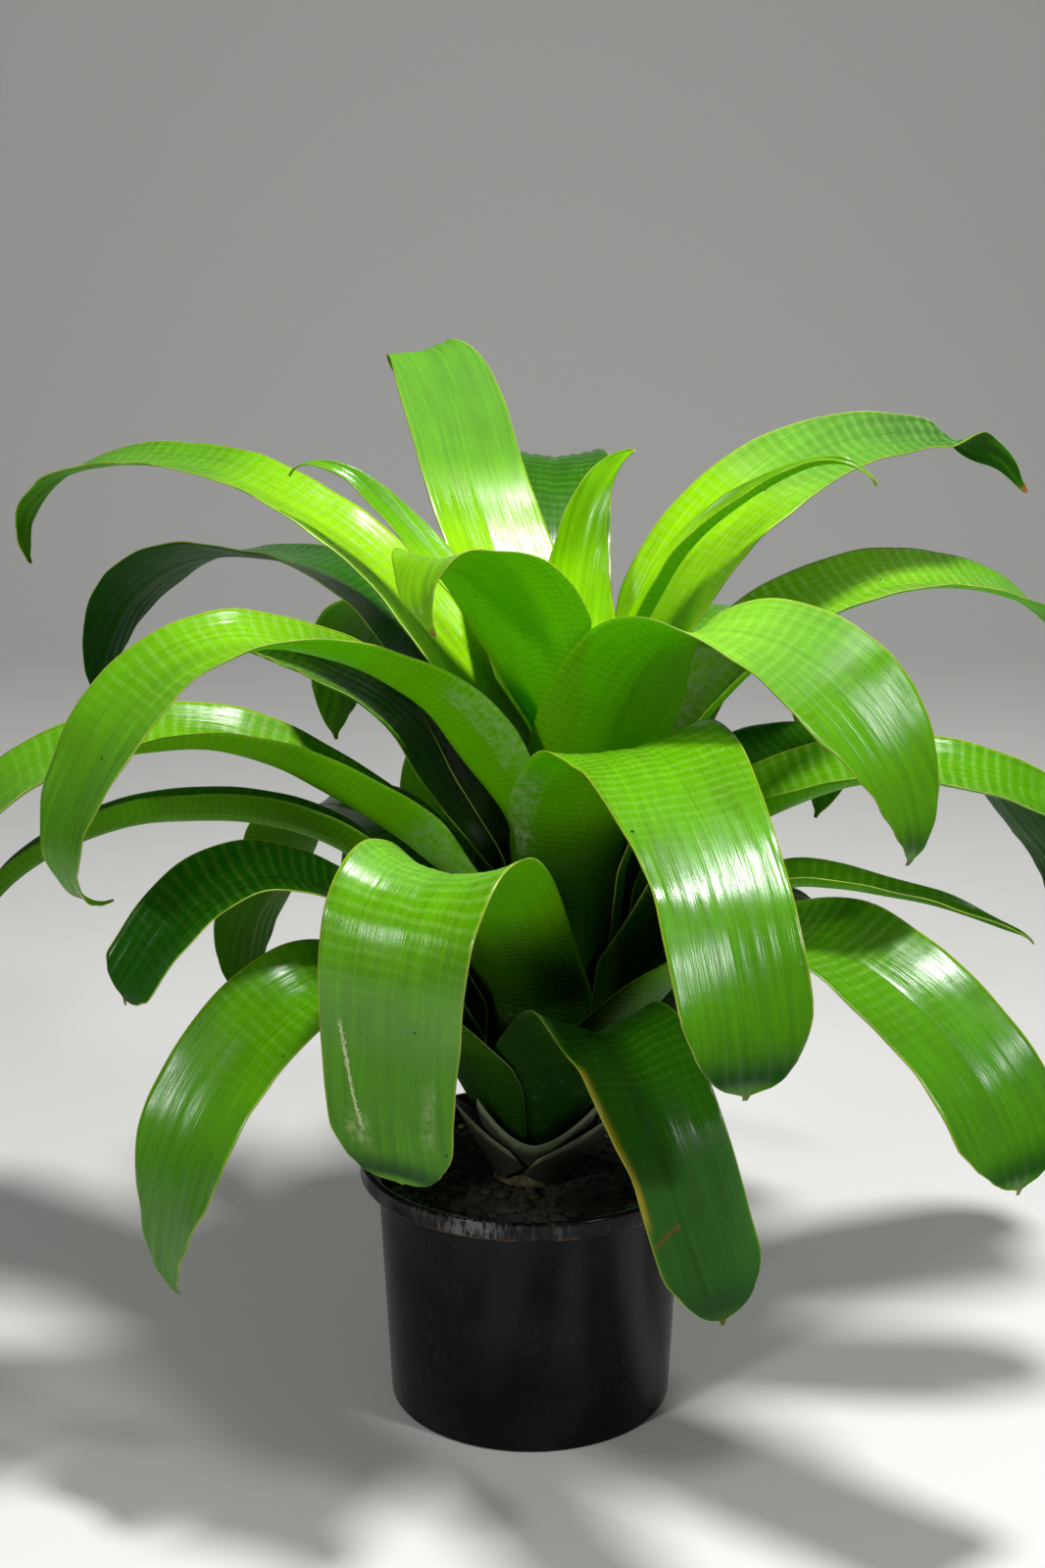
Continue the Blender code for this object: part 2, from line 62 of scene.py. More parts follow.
import bmesh
import bpy
import numpy as np
from mathutils import Vector, noise

MM = 0.001
print("nodes:", len(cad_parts), "box:", cad_box)

# %% [markdown]
# ## Camera
#
# The picture was taken with a longish lens from a little above the plant, so the camera stands about
# 1.26 m in front of the pot and looks down by 14.5 degrees. The long side of a full-frame sensor is
# 36 mm, and a focal length follows from how many pixels the lens needs for that side.

# %% Camera
SENSOR_SIDE = 36
LONG_SIDE = 1600
FOCAL_PIXELS = 2350
CAMERA_PLACE = (-0.0046, -1.257, 0.697)
LOOK_DOWN = 14.5

camera_data = bpy.data.cameras.new("camera")
camera_data.sensor_width = SENSOR_SIDE
camera_data.lens = SENSOR_SIDE * FOCAL_PIXELS / LONG_SIDE
camera_data.dof.use_dof = False
camera = bpy.data.objects.new("camera", camera_data)
camera.location = CAMERA_PLACE
camera.rotation_euler = (math.radians(90 - LOOK_DOWN), 0, 0)
bpy.context.scene.collection.objects.link(camera)
bpy.context.scene.camera = camera
print("lens:", round(camera_data.lens, 2), "mm")

# %% [markdown]
# ## Small helpers for meshes and node trees
#
# A mesh made in code is a list of points and a list of faces. A node tree is easier to read as sums
# and products than as boxes and wires, so a few helpers add a node, feed its sockets and hand back
# its result. Anything that two materials share becomes a node group with named sockets.

# %% Mesh and node helpers
def placed(name, data):
    made = bpy.data.objects.new(name, data)
    bpy.context.scene.collection.objects.link(made)
    return made


def mesh_object(name, points, faces):
    mesh = bpy.data.meshes.new(name)
    mesh.from_pydata([tuple(p) for p in points], [], faces)
    mesh.validate()
    mesh.shade_smooth()
    return placed(name, mesh)


def keep_piece(piece, slot, *nodes):
    """Every piece rides on the plant's one body, and the solids it stands for are hidden."""
    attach(piece, "root")
    if nodes:
        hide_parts(*nodes)
    return piece


def feed(tree, socket, value):
    """A socket takes either another node's result or a plain value."""
    if isinstance(value, bpy.types.NodeSocket):
        tree.links.new(value, socket)
    else:
        socket.default_value = value


def add_node(tree, kind, inputs=None, **settings):
    made = tree.nodes.new(kind)
    for name, value in settings.items():
        setattr(made, name, value)
    for name, value in (inputs or {}).items():
        feed(tree, made.inputs[name], value)
    return made


def calc(tree, operation, *values, clamp=False):
    made = tree.nodes.new("ShaderNodeMath")
    made.operation = operation
    made.use_clamp = clamp
    for socket, value in zip(made.inputs, values):
        feed(tree, socket, value)
    return made.outputs[0]


def times(tree, first, second):
    return calc(tree, "MULTIPLY", first, second)


def plus(tree, first, second):
    return calc(tree, "ADD", first, second)


def ramp(tree, value, low, high, out_low=0.0, out_high=1.0, smooth=True):
    made = tree.nodes.new("ShaderNodeMapRange")
    made.interpolation_type = "SMOOTHSTEP" if smooth else "LINEAR"
    for socket, given in zip(made.inputs, (value, low, high, out_low, out_high)):
        feed(tree, socket, given)
    return made.outputs[0]


def blend_colours(tree, share, first, second, kind="MIX"):
    made = tree.nodes.new("ShaderNodeMix")
    made.data_type = "RGBA"
    made.blend_type = kind
    feed(tree, made.inputs["Factor"], share)
    for socket, value in ((made.inputs[6], first), (made.inputs[7], second)):
        feed(tree, socket, (*value, 1) if isinstance(value, tuple) and len(value) == 3 else value)
    return made.outputs[2]


def cover(tree, base, colour, mask, amount=1):
    """The colour laid over the base where the mask says, at most by the amount."""
    return blend_colours(tree, mask if amount == 1 else times(tree, mask, amount), base, colour)


def noise_value(tree, vector, scale, detail=2.0, roughness=0.5):
    inputs = {"Vector": vector, "Scale": scale, "Detail": detail, "Roughness": roughness}
    return add_node(tree, "ShaderNodeTexNoise", inputs).outputs["Fac"]


def vector_of(tree, x, y, z):
    return add_node(tree, "ShaderNodeCombineXYZ", {"X": x, "Y": y, "Z": z}).outputs[0]


def split_vector(tree, vector):
    return add_node(tree, "ShaderNodeSeparateXYZ", {"Vector": vector}).outputs


def new_group(name, inputs, outputs):
    """A node group with its named sockets. inputs maps a name to its kind and first value."""
    group = bpy.data.node_groups.new(name, "ShaderNodeTree")
    for label, (kind, value) in inputs.items():
        socket = group.interface.new_socket(label, in_out="INPUT", socket_type=kind)
        if value is not None:
            socket.default_value = value
    for label, kind in outputs.items():
        group.interface.new_socket(label, in_out="OUTPUT", socket_type=kind)
    return group, group.nodes.new("NodeGroupInput"), group.nodes.new("NodeGroupOutput")


def use_group(tree, group, **inputs):
    made = tree.nodes.new("ShaderNodeGroup")
    made.node_tree = group
    for name, value in inputs.items():
        feed(tree, made.inputs[name.replace("_", " ")], value)
    return made


def new_material(name):
    made = bpy.data.materials.new(name)
    made.use_nodes = True
    return made, made.node_tree, made.node_tree.nodes["Principled BSDF"]


def surface(tree, shader, base, rough, height, strength, depth):
    """The last links of a material: its colour, its roughness and a bump for its finest relief."""
    feed(tree, shader.inputs["Base Color"], base)
    feed(tree, shader.inputs["Roughness"], rough)
    bump = add_node(tree, "ShaderNodeBump", {"Strength": strength, "Distance": depth, "Height": height})
    feed(tree, shader.inputs["Normal"], bump.outputs[0])


FLOAT, VECTOR = "NodeSocketFloat", "NodeSocketVector"
print("helpers ready")

# %% [markdown]
# ## Floor and light
#
# A pale sweep stands in for a studio: a floor that bends up into a wall. A box of walls would draw a
# corner line behind the leaves, and the sweep has none. Three round lamps light the plant. The
# highest makes most of the shine, a low one on the left brings out the leaves that hang toward it,
# and one on the right shines on the leaf that bends over there. The room adds a little from all sides.

# %% Floor and light
SWEEP_HALF_WIDTH = 3.0
SWEEP_FRONT = -2.5
SWEEP_BEND = 2.2
SWEEP_RADIUS = 1.2
SWEEP_TOP = 3.0
BEND_STEPS = 12
FLOOR_COLOUR = (0.66, 0.66, 0.64, 1)
ROOM_LIGHT = 0.13
LAMPS = [
    ("key_light", (0.40, -0.18, 2.2), (0.03, 0, 0.35), 0.29, 50),
    ("left_light", (-1.35, -1.5, 1.05), (0, 0, 0.3), 0.3, 15),
    ("right_light", (1.23, -1.01, 1.86), (0.1, 0, 0.35), 0.25, 15),
]


def studio_sweep():
    side = [(SWEEP_FRONT, 0.0)]
    for k in range(BEND_STEPS + 1):
        angle = math.pi / 2 * k / BEND_STEPS
        rise = SWEEP_RADIUS * (1 - math.cos(angle))
        side.append((SWEEP_BEND + SWEEP_RADIUS * math.sin(angle), rise))
    side.append((SWEEP_BEND + SWEEP_RADIUS, SWEEP_TOP))
    points = [(x, y, z) for y, z in side for x in (-SWEEP_HALF_WIDTH, SWEEP_HALF_WIDTH)]
    faces = [(2 * k, 2 * k + 1, 2 * k + 3, 2 * k + 2) for k in range(len(side) - 1)]
    sweep = mesh_object("studio_floor", points, faces)
    made, _, shader = new_material("studio_floor")
    shader.inputs["Base Color"].default_value = FLOOR_COLOUR
    shader.inputs["Roughness"].default_value = 0.9
    sweep.data.materials.append(made)
    sweep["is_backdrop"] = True


def soft_light(name, place, aim, size, power):
    """A round lamp, as wide as its size, that looks at a point near the plant."""
    data = bpy.data.lights.new(name, "AREA")
    data.shape = "DISK"
    data.size = size
    data.energy = power
    made = placed(name, data)
    made.location = place
    made.rotation_euler = (Vector(aim) - Vector(place)).to_track_quat("-Z", "Y").to_euler()


studio_sweep()
for lamp in LAMPS:
    soft_light(*lamp)
world = bpy.data.worlds.new("studio")
world.use_nodes = True
room = world.node_tree.nodes["Background"]
room.inputs["Color"].default_value = (1, 1, 1, 1)
room.inputs["Strength"].default_value = ROOM_LIGHT
bpy.context.scene.world = world
bpy.context.scene.view_settings.view_transform = "Standard"

# %% [markdown]
# ## The rule behind every leaf
#
# A leaf of this plant starts as a wide sheath that grips the stem, flares out, and climbs along the
# rosette's axis. At its throat it breaks free, and the blade arches over on a curve of its own. All
# leaves share that rule, so it could be drawn once and bent thirty-three times, but each leaf here
# has its own path, width, cup and roll, so the rule is a function and the leaves are rows of a table.
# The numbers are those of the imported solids, so a finer leaf lies exactly where its solid lies.
#
# A row gives the leaf's direction, the height of its throat and the path of its blade. Width, roll
# and cup are each five values, at five stops from the stem to the tip. The point is the share of the
# leaf that narrows to the tip, and blunt is a low number where the end is broad and round.

# %% The rosette's numbers
SOIL_TOP = 0.136
STEM_RADIUS = 0.022
STEM_TIP_RADIUS = 0.009
STEM_TAPER = 0.080
LEAN = 0.10
ROOT_LOW = 0.010
ROOT_PITCH = 0.0021
FLARE_LEAST = 0.006
FLARE_PITCH = 0.0023
FLARE_SLOPE = 0.62
LAST_RANK = 32
BLADE_GAP = 0.001
FREE_LENGTH = 0.070
SHEATH_WIDENING = 1.15
WIDEST_WRAP = 1.1
SPAN_SAMPLES = 24
SHAPE_STOPS = [0.0, 0.35, 0.55, 0.8, 1.0]
FLAT_CUP = [90, 70, 50, 40, 30]
NO_ROLL = [0, 0, 0, 0, 0]
NO_TWIST = (0.9, 0)
TWIST_SPAN = 0.08


def leaf(name, azimuth, throat, path, width=74, point=0.16, blunt=0.62, wrap=WIDEST_WRAP, roll=NO_ROLL,
         cup=FLAT_CUP, twist=NO_TWIST):
    """A leaf's design, in mm and degrees. A path point is (reach, height) or (reach, height, azimuth)."""
    points = [(*(p[2:] or (azimuth,)), p[0] * MM, p[1] * MM) for p in path]
    return {
        "name": name,
        "azimuth": azimuth,
        "throat": throat and throat * MM,
        "path": points,
        "width": [w * MM for w in (width if isinstance(width, list) else [width] * len(SHAPE_STOPS))],
        "point": point,
        "blunt": blunt,
        "wrap": wrap,
        "roll": roll,
        "cup": cup,
        "twist": twist,
    }


LEAVES = [
    leaf(
        "leaf_01_heart", 215, 420,
        [(9, 452), (13, 474, 213), (18, 492, 211)],
        width=[36, 36, 34, 32, 30], point=0.6, blunt=0.7, cup=[200, 150, 120, 90, 60],
    ),
    leaf(
        "leaf_02_heart_tip", 110, 430,
        [(25, 458, 116), (32, 504, 109), (36, 533, 96), (41, 549, 81), (45, 556, 68)],
        width=[64, 84, 84, 66, 50], point=0.45, cup=[90, 110, 100, 90, 60],
    ),
    leaf(
        "leaf_03_right_narrow", 355, 430,
        [(30, 463), (50, 507, 353), (80, 536, 352), (108, 552, 351), (128, 555, 350), (148, 545, 350)],
        width=[50, 48, 46, 44, 40], point=0.36, roll=[0, 4, 6, 6, 0], cup=[90, 110, 110, 100, 80],
    ),
    leaf(
        "leaf_04_left_narrow", 168, 410,
        [(31, 449), (66, 472), (96, 499), (125, 527), (150, 544), (170, 548), (182, 543)],
        width=[50, 46, 50, 52, 40], point=0.5, roll=[0, 12, 0, -20, -10], cup=[100, 70, 60, 60, 60],
    ),
    leaf(
        "leaf_05_front_curled", 230, 395,
        [(34, 420, 224), (43, 442, 221), (60, 476, 221), (84, 500, 222), (108, 511, 223), (126, 513, 225),
         (136, 502, 227), (139, 490, 230), (137, 476, 233)],
        width=[80, 90, 98, 98, 92], point=0.2, blunt=1.0, wrap=0.85, roll=[0, 4, 8, 8, 0],
        cup=[130, 95, 50, 35, 30],
    ),
    leaf(
        "leaf_06_top_back", 118, 390,
        [(52, 430), (83, 460), (115, 490, 119), (153, 532, 119.5), (183, 568, 119.5), (213, 594, 119.5),
         (236, 599, 119), (250, 589, 118), (257, 572, 117)],
        width=[80, 76, 72, 66, 62], point=0.14, blunt=0.4, wrap=0.8, roll=[0, 0, 0, -6, -12],
        cup=[90, 65, 45, 25, 10],
    ),
    leaf(
        "leaf_07_right_high", 24, 375,
        [(40, 443), (58, 487), (85, 520), (124, 546), (165, 558), (209, 558), (240, 551), (262, 541),
         (280, 522)],
        width=[74, 72, 77, 58, 44], point=0.34, wrap=0.8, roll=[0, 3, 14, 30, 20], twist=(0.86, -110),
    ),
    leaf(
        "leaf_08_left_high", 160, 375,
        [(55, 405), (85, 440), (118, 476), (150, 501), (187, 521), (225, 536), (262, 542), (307, 540),
         (340, 529), (360, 506), (360, 477)],
        width=[72, 70, 64, 64, 60], roll=[0, -5, -6, -5, 0],
    ),
    leaf(
        "leaf_09_back_high", 98, 355,
        [(70, 403), (110, 450), (150, 493), (190, 522, 97), (225, 531, 96), (255, 520, 96), (280, 495, 96)],
        width=[72, 62, 66, 72, 72], cup=[90, 80, 50, 40, 30],
    ),
    leaf(
        "leaf_10_front_right_high", 280, 365,
        [(48, 428, 292), (63, 461, 305), (90, 471, 316), (130, 463, 322), (167, 438, 325),
         (194, 407, 326), (206, 375, 327), (208, 356, 327)],
        width=[80, 80, 78, 74, 74], roll=[0, -18, -8, 24, 20], cup=[90, 80, 38, 35, 30],
    ),
    leaf(
        "leaf_11_front_left_high", 205, 345,
        [(64, 392), (86, 418), (112, 438), (140, 453), (170, 463), (205, 468), (240, 457), (264, 434),
         (280, 406), (289, 378), (288, 357), (279, 342), (262, 335)],
        width=[76, 76, 72, 72, 74], roll=[0, 14, 2, -12, -8], cup=[90, 120, 90, 34, 30],
    ),
    leaf(
        "leaf_12_front_broad", 276, 341,
        [(58, 388, 281.5), (78, 410, 286.5), (110, 414, 289), (155, 399, 289), (200, 374, 289),
         (226, 350, 289), (248, 315, 289.5), (256, 278, 290)],
        width=[81, 90, 86, 68, 68], point=0.07, blunt=0.36, roll=[0, 2, 10, 8, 0], cup=[90, 52, 20, 25, 25],
    ),
    leaf(
        "leaf_13_right_long", 18, 325,
        [(68, 400), (95, 434), (122, 456), (155, 470), (193, 477), (235, 473), (276, 458), (310, 429),
         (335, 390), (345, 350)],
        width=[72, 72, 76, 76, 76], wrap=0.9, roll=[0, 3, 9, 8, 0], cup=[90, 110, 72, 40, 30],
    ),
    leaf(
        "leaf_14_back_left_long", 147, 330,
        [(75, 387), (110, 430), (150, 463), (190, 478), (230, 481), (268, 479), (307, 467), (340, 441),
         (356, 408), (359, 372)],
        roll=[0, -4, 0, 10, 0],
    ),
    leaf(
        "leaf_15_left_short", 167, 315,
        [(75, 365), (106, 404), (150, 428), (180, 437), (205, 441)],
        width=70, roll=[0, -5, -5, 0, 0],
    ),
    leaf(
        "leaf_16_back_right", 50, 310,
        [(80, 380), (115, 420), (160, 440), (205, 430), (245, 395), (270, 345), (270, 295)],
    ),
    leaf(
        "leaf_17_left_long", 190, 298,
        [(84, 336), (112, 357), (140, 375), (169, 391), (200, 401), (232, 404), (265, 401), (300, 389),
         (325, 366), (340, 331), (345, 290)],
        width=[72, 80, 84, 78, 76], wrap=0.9, roll=[0, 8, 1, -8, 0], cup=[90, 135, 105, 40, 30],
    ),
    leaf(
        "leaf_18_front_left_hanging", 245, 255,
        [(85, 306), (122, 343), (150, 360), (175, 362), (194, 349), (202, 321), (200, 287), (194, 252),
         (184, 220), (175, 197)],
        width=[76, 84, 91, 77, 66], point=0.07, blunt=0.32, cup=[90, 80, 68, 20, 20],
    ),
    leaf(
        "leaf_19_right_middle", 357, 280,
        [(88, 340), (115, 358), (135, 368), (158, 376), (188, 380), (215, 378), (242, 372), (272, 360),
         (300, 337), (316, 304)],
        width=[80, 90, 82, 74, 74], roll=[0, 0, 4, 9, 0], cup=[90, 150, 100, 45, 30],
    ),
    leaf(
        "leaf_20_back_left_middle", 124, 270,
        [(81, 360), (117, 410), (160, 440), (205, 444), (240, 426), (262, 390), (268, 345)],
        width=[72, 56, 66, 72, 72], cup=[90, 90, 60, 40, 30],
    ),
    leaf(
        "leaf_21_back_middle", 78, 250,
        [(91, 340), (122, 382), (160, 405), (205, 395), (245, 360), (270, 310), (270, 260)],
    ),
    leaf(
        "leaf_22_left_low", 186, 253,
        [(101, 318), (122, 335), (150, 349), (180, 356), (215, 358), (250, 355), (298, 333), (326, 302),
         (343, 258)],
        width=[72, 62, 62, 48, 50], wrap=0.9, roll=[0, 8, 10, 6, 0], cup=[90, 110, 130, 110, 60],
    ),
    leaf(
        "leaf_23_right_slim", 350, 245,
        [(104, 304), (130, 319), (153, 320), (181, 317), (209, 313), (236, 306), (268, 295)],
        width=[56, 54, 54, 50, 48], point=0.5, cup=[90, 120, 115, 85, 50],
    ),
    leaf(
        "leaf_24_back_left_low", 106, 240,
        [(93, 306), (122, 350), (160, 373), (200, 364), (235, 330), (260, 280), (262, 230)],
    ),
    leaf(
        "leaf_25_front_right_low", 320, 235,
        [(95, 281), (138, 306), (176, 315), (213, 304), (248, 285), (280, 260), (299, 234), (309, 211)],
        width=[80, 88, 86, 78, 80], point=0.07, blunt=0.42, roll=[0, 6, 6, 12, 10],
    ),
    leaf(
        "leaf_26_left_drooping", 203, 235,
        [(105, 303), (147, 330), (182, 341), (208, 334), (229, 315), (244, 293), (253, 276)],
        width=[62, 58, 56, 60, 62], point=0.03, blunt=0.35, roll=[0, -5, -10, -14, -10],
    ),
    leaf(
        "leaf_27_back_right_low", 52, 220,
        [(82, 290, 46), (118, 342, 38), (150, 368, 33), (200, 370, 30), (250, 361, 29), (296, 340, 28),
         (335, 305, 28), (370, 268, 28), (386, 225, 28)],
    ),
    leaf(
        "leaf_28_front_low", 272, None,
        [(90, 253, 277), (115, 269, 282), (150, 266, 285), (182, 252, 286), (208, 228, 288),
         (230, 203, 289), (245, 178, 290.5), (252, 158, 291.5)],
        width=[70, 72, 66, 55, 54], point=0.07, blunt=0.42, roll=[0, -2, 8, 6, -8],
        cup=[90, 75, 30, 35, 30],
    ),
    leaf(
        "leaf_29_back_left_outer", 142, None,
        [(80, 270), (115, 310), (160, 330), (205, 320), (215, 285), (240, 235), (240, 185)],
    ),
    leaf(
        "leaf_30_front_left_low", 218, None,
        [(116, 270), (156, 286), (188, 276), (213, 250, 217), (232, 218, 217), (240, 185, 217),
         (242, 155, 217), (237, 128, 217)],
        width=[72, 76, 72, 68, 60], point=0.2, roll=[0, -8, -14, -14, -8],
    ),
    leaf(
        "leaf_31_back_outer", 88, None,
        [(80, 265), (115, 305), (160, 325), (205, 315), (225, 280), (250, 230), (250, 180)],
    ),
    leaf(
        "leaf_32_right_short", 20, None,
        [(87, 252), (115, 276), (150, 283), (178, 272), (195, 248)],
        width=66,
    ),
    leaf(
        "leaf_33_back_left_last", 120, None,
        [(80, 240), (115, 280), (160, 300), (205, 290), (210, 255), (235, 205), (235, 155)],
        width=66,
    ),
]
print("leaves:", len(LEAVES))

# %% [markdown]
# ## The middle line of a leaf
#
# The middle line runs from the stem up the flare to the throat, and on along a smooth curve through
# the path's points. A plain polyline would show a kink at every point, and a Bezier curve would need
# handles for each, so a Catmull-Rom spline is used: it passes through its points and needs no more.
# Width, roll and cup follow a smooth line through five values, which never swings past them.

# %% Middle line
def axis_shift(z):
    """How far the leaning rosette's axis has moved towards +X at a height."""
    return LEAN * np.maximum(0, z - SOIL_TOP)


def stem_radius(z):
    taper = np.clip((z - SOIL_TOP) / STEM_TAPER, 0, 1)
    return STEM_RADIUS + (STEM_TIP_RADIUS - STEM_RADIUS) * taper


def smooth_step(t):
    t = np.clip(t, 0, 1)
    return t * t * (3 - 2 * t)


def smooth_curve(points, before):
    """A smooth curve through the points. before is a point behind the first that sets how it starts."""
    held = np.vstack([before, points, 2 * points[-1] - points[-2]])
    found = []
    for a, b, c, d in zip(held[:-3], held[1:-2], held[2:-1], held[3:]):
        t1 = math.sqrt(np.linalg.norm(b - a))
        t2 = t1 + math.sqrt(np.linalg.norm(c - b))
        t3 = t2 + math.sqrt(np.linalg.norm(d - c))
        for t in np.linspace(t1, t2, SPAN_SAMPLES, endpoint=False):
            ab = a + (b - a) * t / t1
            bc = b + (c - b) * (t - t1) / (t2 - t1)
            cd = c + (d - c) * (t - t2) / (t3 - t2)
            left = ab + (bc - ab) * t / t2
            right = bc + (cd - bc) * (t - t1) / (t3 - t1)
            found.append(left + (right - left) * (t - t1) / (t2 - t1))
    found.append(points[-1])
    return np.array(found)


def root_of(rank):
    """(radius, height) where the leaf of a rank grows from the stem, and how long its sheath flares."""
    height = SOIL_TOP + ROOT_LOW + ROOT_PITCH * (LAST_RANK - rank)
    return float(stem_radius(height)) + BLADE_GAP, height, FLARE_LEAST + FLARE_PITCH * rank


def on_axis(azimuth, reach, z):
    angle = math.radians(azimuth)
    return np.array([reach * math.cos(angle) + axis_shift(z), reach * math.sin(angle), z])


def profile(s, values):
    """A smooth line through the values at the shape stops, which never swings past them."""
    stops, values = np.array(SHAPE_STOPS), np.array(values, float)
    steps = np.diff(values) / np.diff(stops)
    slopes = np.concatenate([steps[:1], np.zeros(len(steps) - 1), steps[-1:]])
    for k, (a, b) in enumerate(zip(steps, steps[1:])):
        if a * b > 0:
            slopes[k + 1] = 2 * a * b / (a + b)
    k = np.clip(np.searchsorted(stops, s, side="right") - 1, 0, len(steps) - 1)
    span = stops[k + 1] - stops[k]
    t = (s - stops[k]) / span
    start = values[k] * (1 + 2 * t) * (1 - t) ** 2 + slopes[k] * span * t * (1 - t) ** 2
    return start + values[k + 1] * t * t * (3 - 2 * t) + slopes[k + 1] * span * t * t * (t - 1)


print("roots from", round(root_of(LAST_RANK)[1] / MM), "to", round(root_of(0)[1] / MM), "mm")

# %% [markdown]
# ## From the middle line to a sheet of points
#
# Rows of points are laid across the middle line. Near the stem a row is an arc round the rosette's
# axis, because the sheath grips the stem. Past the throat it is an arc of the blade's own cup, turned
# by its roll. The two kinds of row melt into each other over 70 mm. The blade narrows to a rounded
# end with a tiny sharp tip, and rows lie closer together there.

# %% Sheet of points
FLARE_ROWS = 6
SHEATH_ROWS = 22
BLADE_ROWS = 108
TIP_CROWDING = 1.35
COLUMNS = 29
CORNER = 0.004
ROOT_SHARE = 0.45
ROOT_WIDENS = 0.04
MUCRO_LENGTH = 0.005
MUCRO_HALF = 0.0022
SOFT_SHOULDER = 0.22
LEAST_HALF = 0.0005


def leaf_sheet(design, rank):
    """Points and upper normals, as grids of rows along the leaf, with what the looks need to know."""
    radius, foot, flare = root_of(rank)
    azimuth = design["azimuth"]
    wall = radius + FLARE_SLOPE * flare
    corners = [(azimuth, radius, foot), (azimuth, wall, foot + flare)]
    if design["throat"]:
        corners.append((azimuth, wall, design["throat"]))
    base = np.array([on_axis(*p) for p in corners])
    free = [corners[-1]] + design["path"]
    curve = smooth_curve(np.array([on_axis(*p) for p in free]), 0.3 * base[-2] + 0.7 * base[-1])
    line = np.vstack([base[:-1], curve])
    run = np.concatenate([[0], np.cumsum(np.linalg.norm(np.diff(line, axis=0), axis=1))])
    total = run[-1]
    at_corner = run[: len(base)]
    throat = at_corner[-1]
    rows = [np.linspace(0, at_corner[1], FLARE_ROWS, endpoint=False)]
    if design["throat"]:
        rows.append(np.linspace(at_corner[1], throat, SHEATH_ROWS, endpoint=False))
    to_end = np.linspace(1, 0, BLADE_ROWS) ** TIP_CROWDING
    rows.append(throat + (total - throat) * (1 - to_end))
    s = np.concatenate(rows) / total

    def at(t):
        t = np.clip(t, 0, 1) * total
        return np.stack([np.interp(t, run, line[:, i]) for i in range(3)], -1)

    soft = CORNER / total
    middle = (at(s - soft) + 2 * at(s) + at(s + soft)) / 4
    at_point = np.concatenate([at_corner[:-1], run[len(base) - 1 :: SPAN_SAMPLES]])
    phi = np.interp(s * total, at_point, np.radians([p[0] for p in corners[:-1] + free]))
    tangent = at(s + 0.01) - at(s - 0.01)
    tangent /= np.linalg.norm(tangent, axis=1)[:, None]
    side = np.stack([-np.sin(phi), np.cos(phi), 0 * phi], -1)
    side -= np.sum(tangent * side, axis=1)[:, None] * tangent
    side /= np.linalg.norm(side, axis=1)[:, None]
    upper = np.cross(tangent, side)
    twist_start, twist_angle = design["twist"]
    roll = profile(s, design["roll"])
    roll += twist_angle * smooth_step((s - twist_start) / TWIST_SPAN)
    roll = np.radians(roll)[:, None]
    cup = np.radians(profile(s, design["cup"]))[:, None]
    side, upper = side * np.cos(roll) + upper * np.sin(roll), upper * np.cos(roll) - side * np.sin(roll)

    widening = (SHEATH_WIDENING - 1) * (1 - smooth_step((s - 0.05) / 0.3))
    half = 0.5 * profile(s, design["width"]) * (1 + widening)
    half *= ROOT_SHARE + (1 - ROOT_SHARE) * smooth_step(s * total / max(at_corner[1], ROOT_WIDENS))
    blade_end = 1 - MUCRO_LENGTH / total
    soft_end = SOFT_SHOULDER * design["point"]


    def taper(shift):
        return np.clip((blade_end - s - shift) / design["point"], 0, 1) ** design["blunt"]

    softened = (taper(-soft_end) + 2 * taper(0) + taper(soft_end)) / 4
    half *= np.where(s < blade_end - 2 * soft_end, softened, taper(0))
    half = np.hypot(half, MUCRO_HALF * np.clip((1 - s) / (1 - blade_end), 0, 1) ** 0.8)
    shift = axis_shift(middle[:, 2])
    reach = np.hypot(middle[:, 0] - shift, middle[:, 1])
    half = np.maximum(np.minimum(half, design["wrap"] * reach), LEAST_HALF)[:, None]

    v = np.linspace(-1, 1, COLUMNS)[None, :]
    bend = v * cup / 2
    arc = 2 * half / cup
    blade = middle[:, None, :] + side[:, None, :] * (arc * np.sin(bend))[..., None]
    blade += upper[:, None, :] * (arc * (1 - np.cos(bend)))[..., None]
    turn = np.arctan2(middle[:, 1], middle[:, 0] - shift)[:, None] + v * half / reach[:, None]
    height = np.repeat(middle[:, 2:3], COLUMNS, axis=1)
    sheath = [reach[:, None] * np.cos(turn) + shift[:, None], reach[:, None] * np.sin(turn), height]
    sheath = np.stack(sheath, -1)
    blend = smooth_step((s * total - throat) / FREE_LENGTH)[:, None]
    grid = (1 - blend[..., None]) * sheath + blend[..., None] * blade
    return {
        "grid": grid,
        "normal": upward(grid),
        "along": np.repeat((s * total)[:, None], COLUMNS, axis=1),
        "across": v * half,
        "v": np.repeat(v, len(s), axis=0),
        "s": np.repeat(s[:, None], COLUMNS, axis=1),
        "free": np.repeat(blend, COLUMNS, axis=1),
        "crest": float((s * total)[np.argmax(middle[:, 2])]),
        "total": total,
        "throat": throat,
    }


def upward(grid):
    normal = np.cross(np.gradient(grid, axis=0), np.gradient(grid, axis=1))
    return normal / np.maximum(np.linalg.norm(normal, axis=2), 1e-12)[..., None]


lengths = [leaf_sheet(design, rank)["total"] for rank, design in enumerate(LEAVES)]
print("longest leaf:", round(max(lengths) / MM), "mm")

# %% [markdown]
# ## Living relief
#
# A solid from a rule is too clean. A real blade has a shallow channel down its middle, low pleats
# between its veins that grow stronger towards the tip, and margins that wave a little. All of this is
# small, so it is moved along the sheet's own normals, and it fades out in the sheath, where the
# neighbours lie under a millimetre away. The last few millimetres of a broad tip roll under. It could
# be left to a bump in the material, but a bump would be lost from the mesh and from its outline.

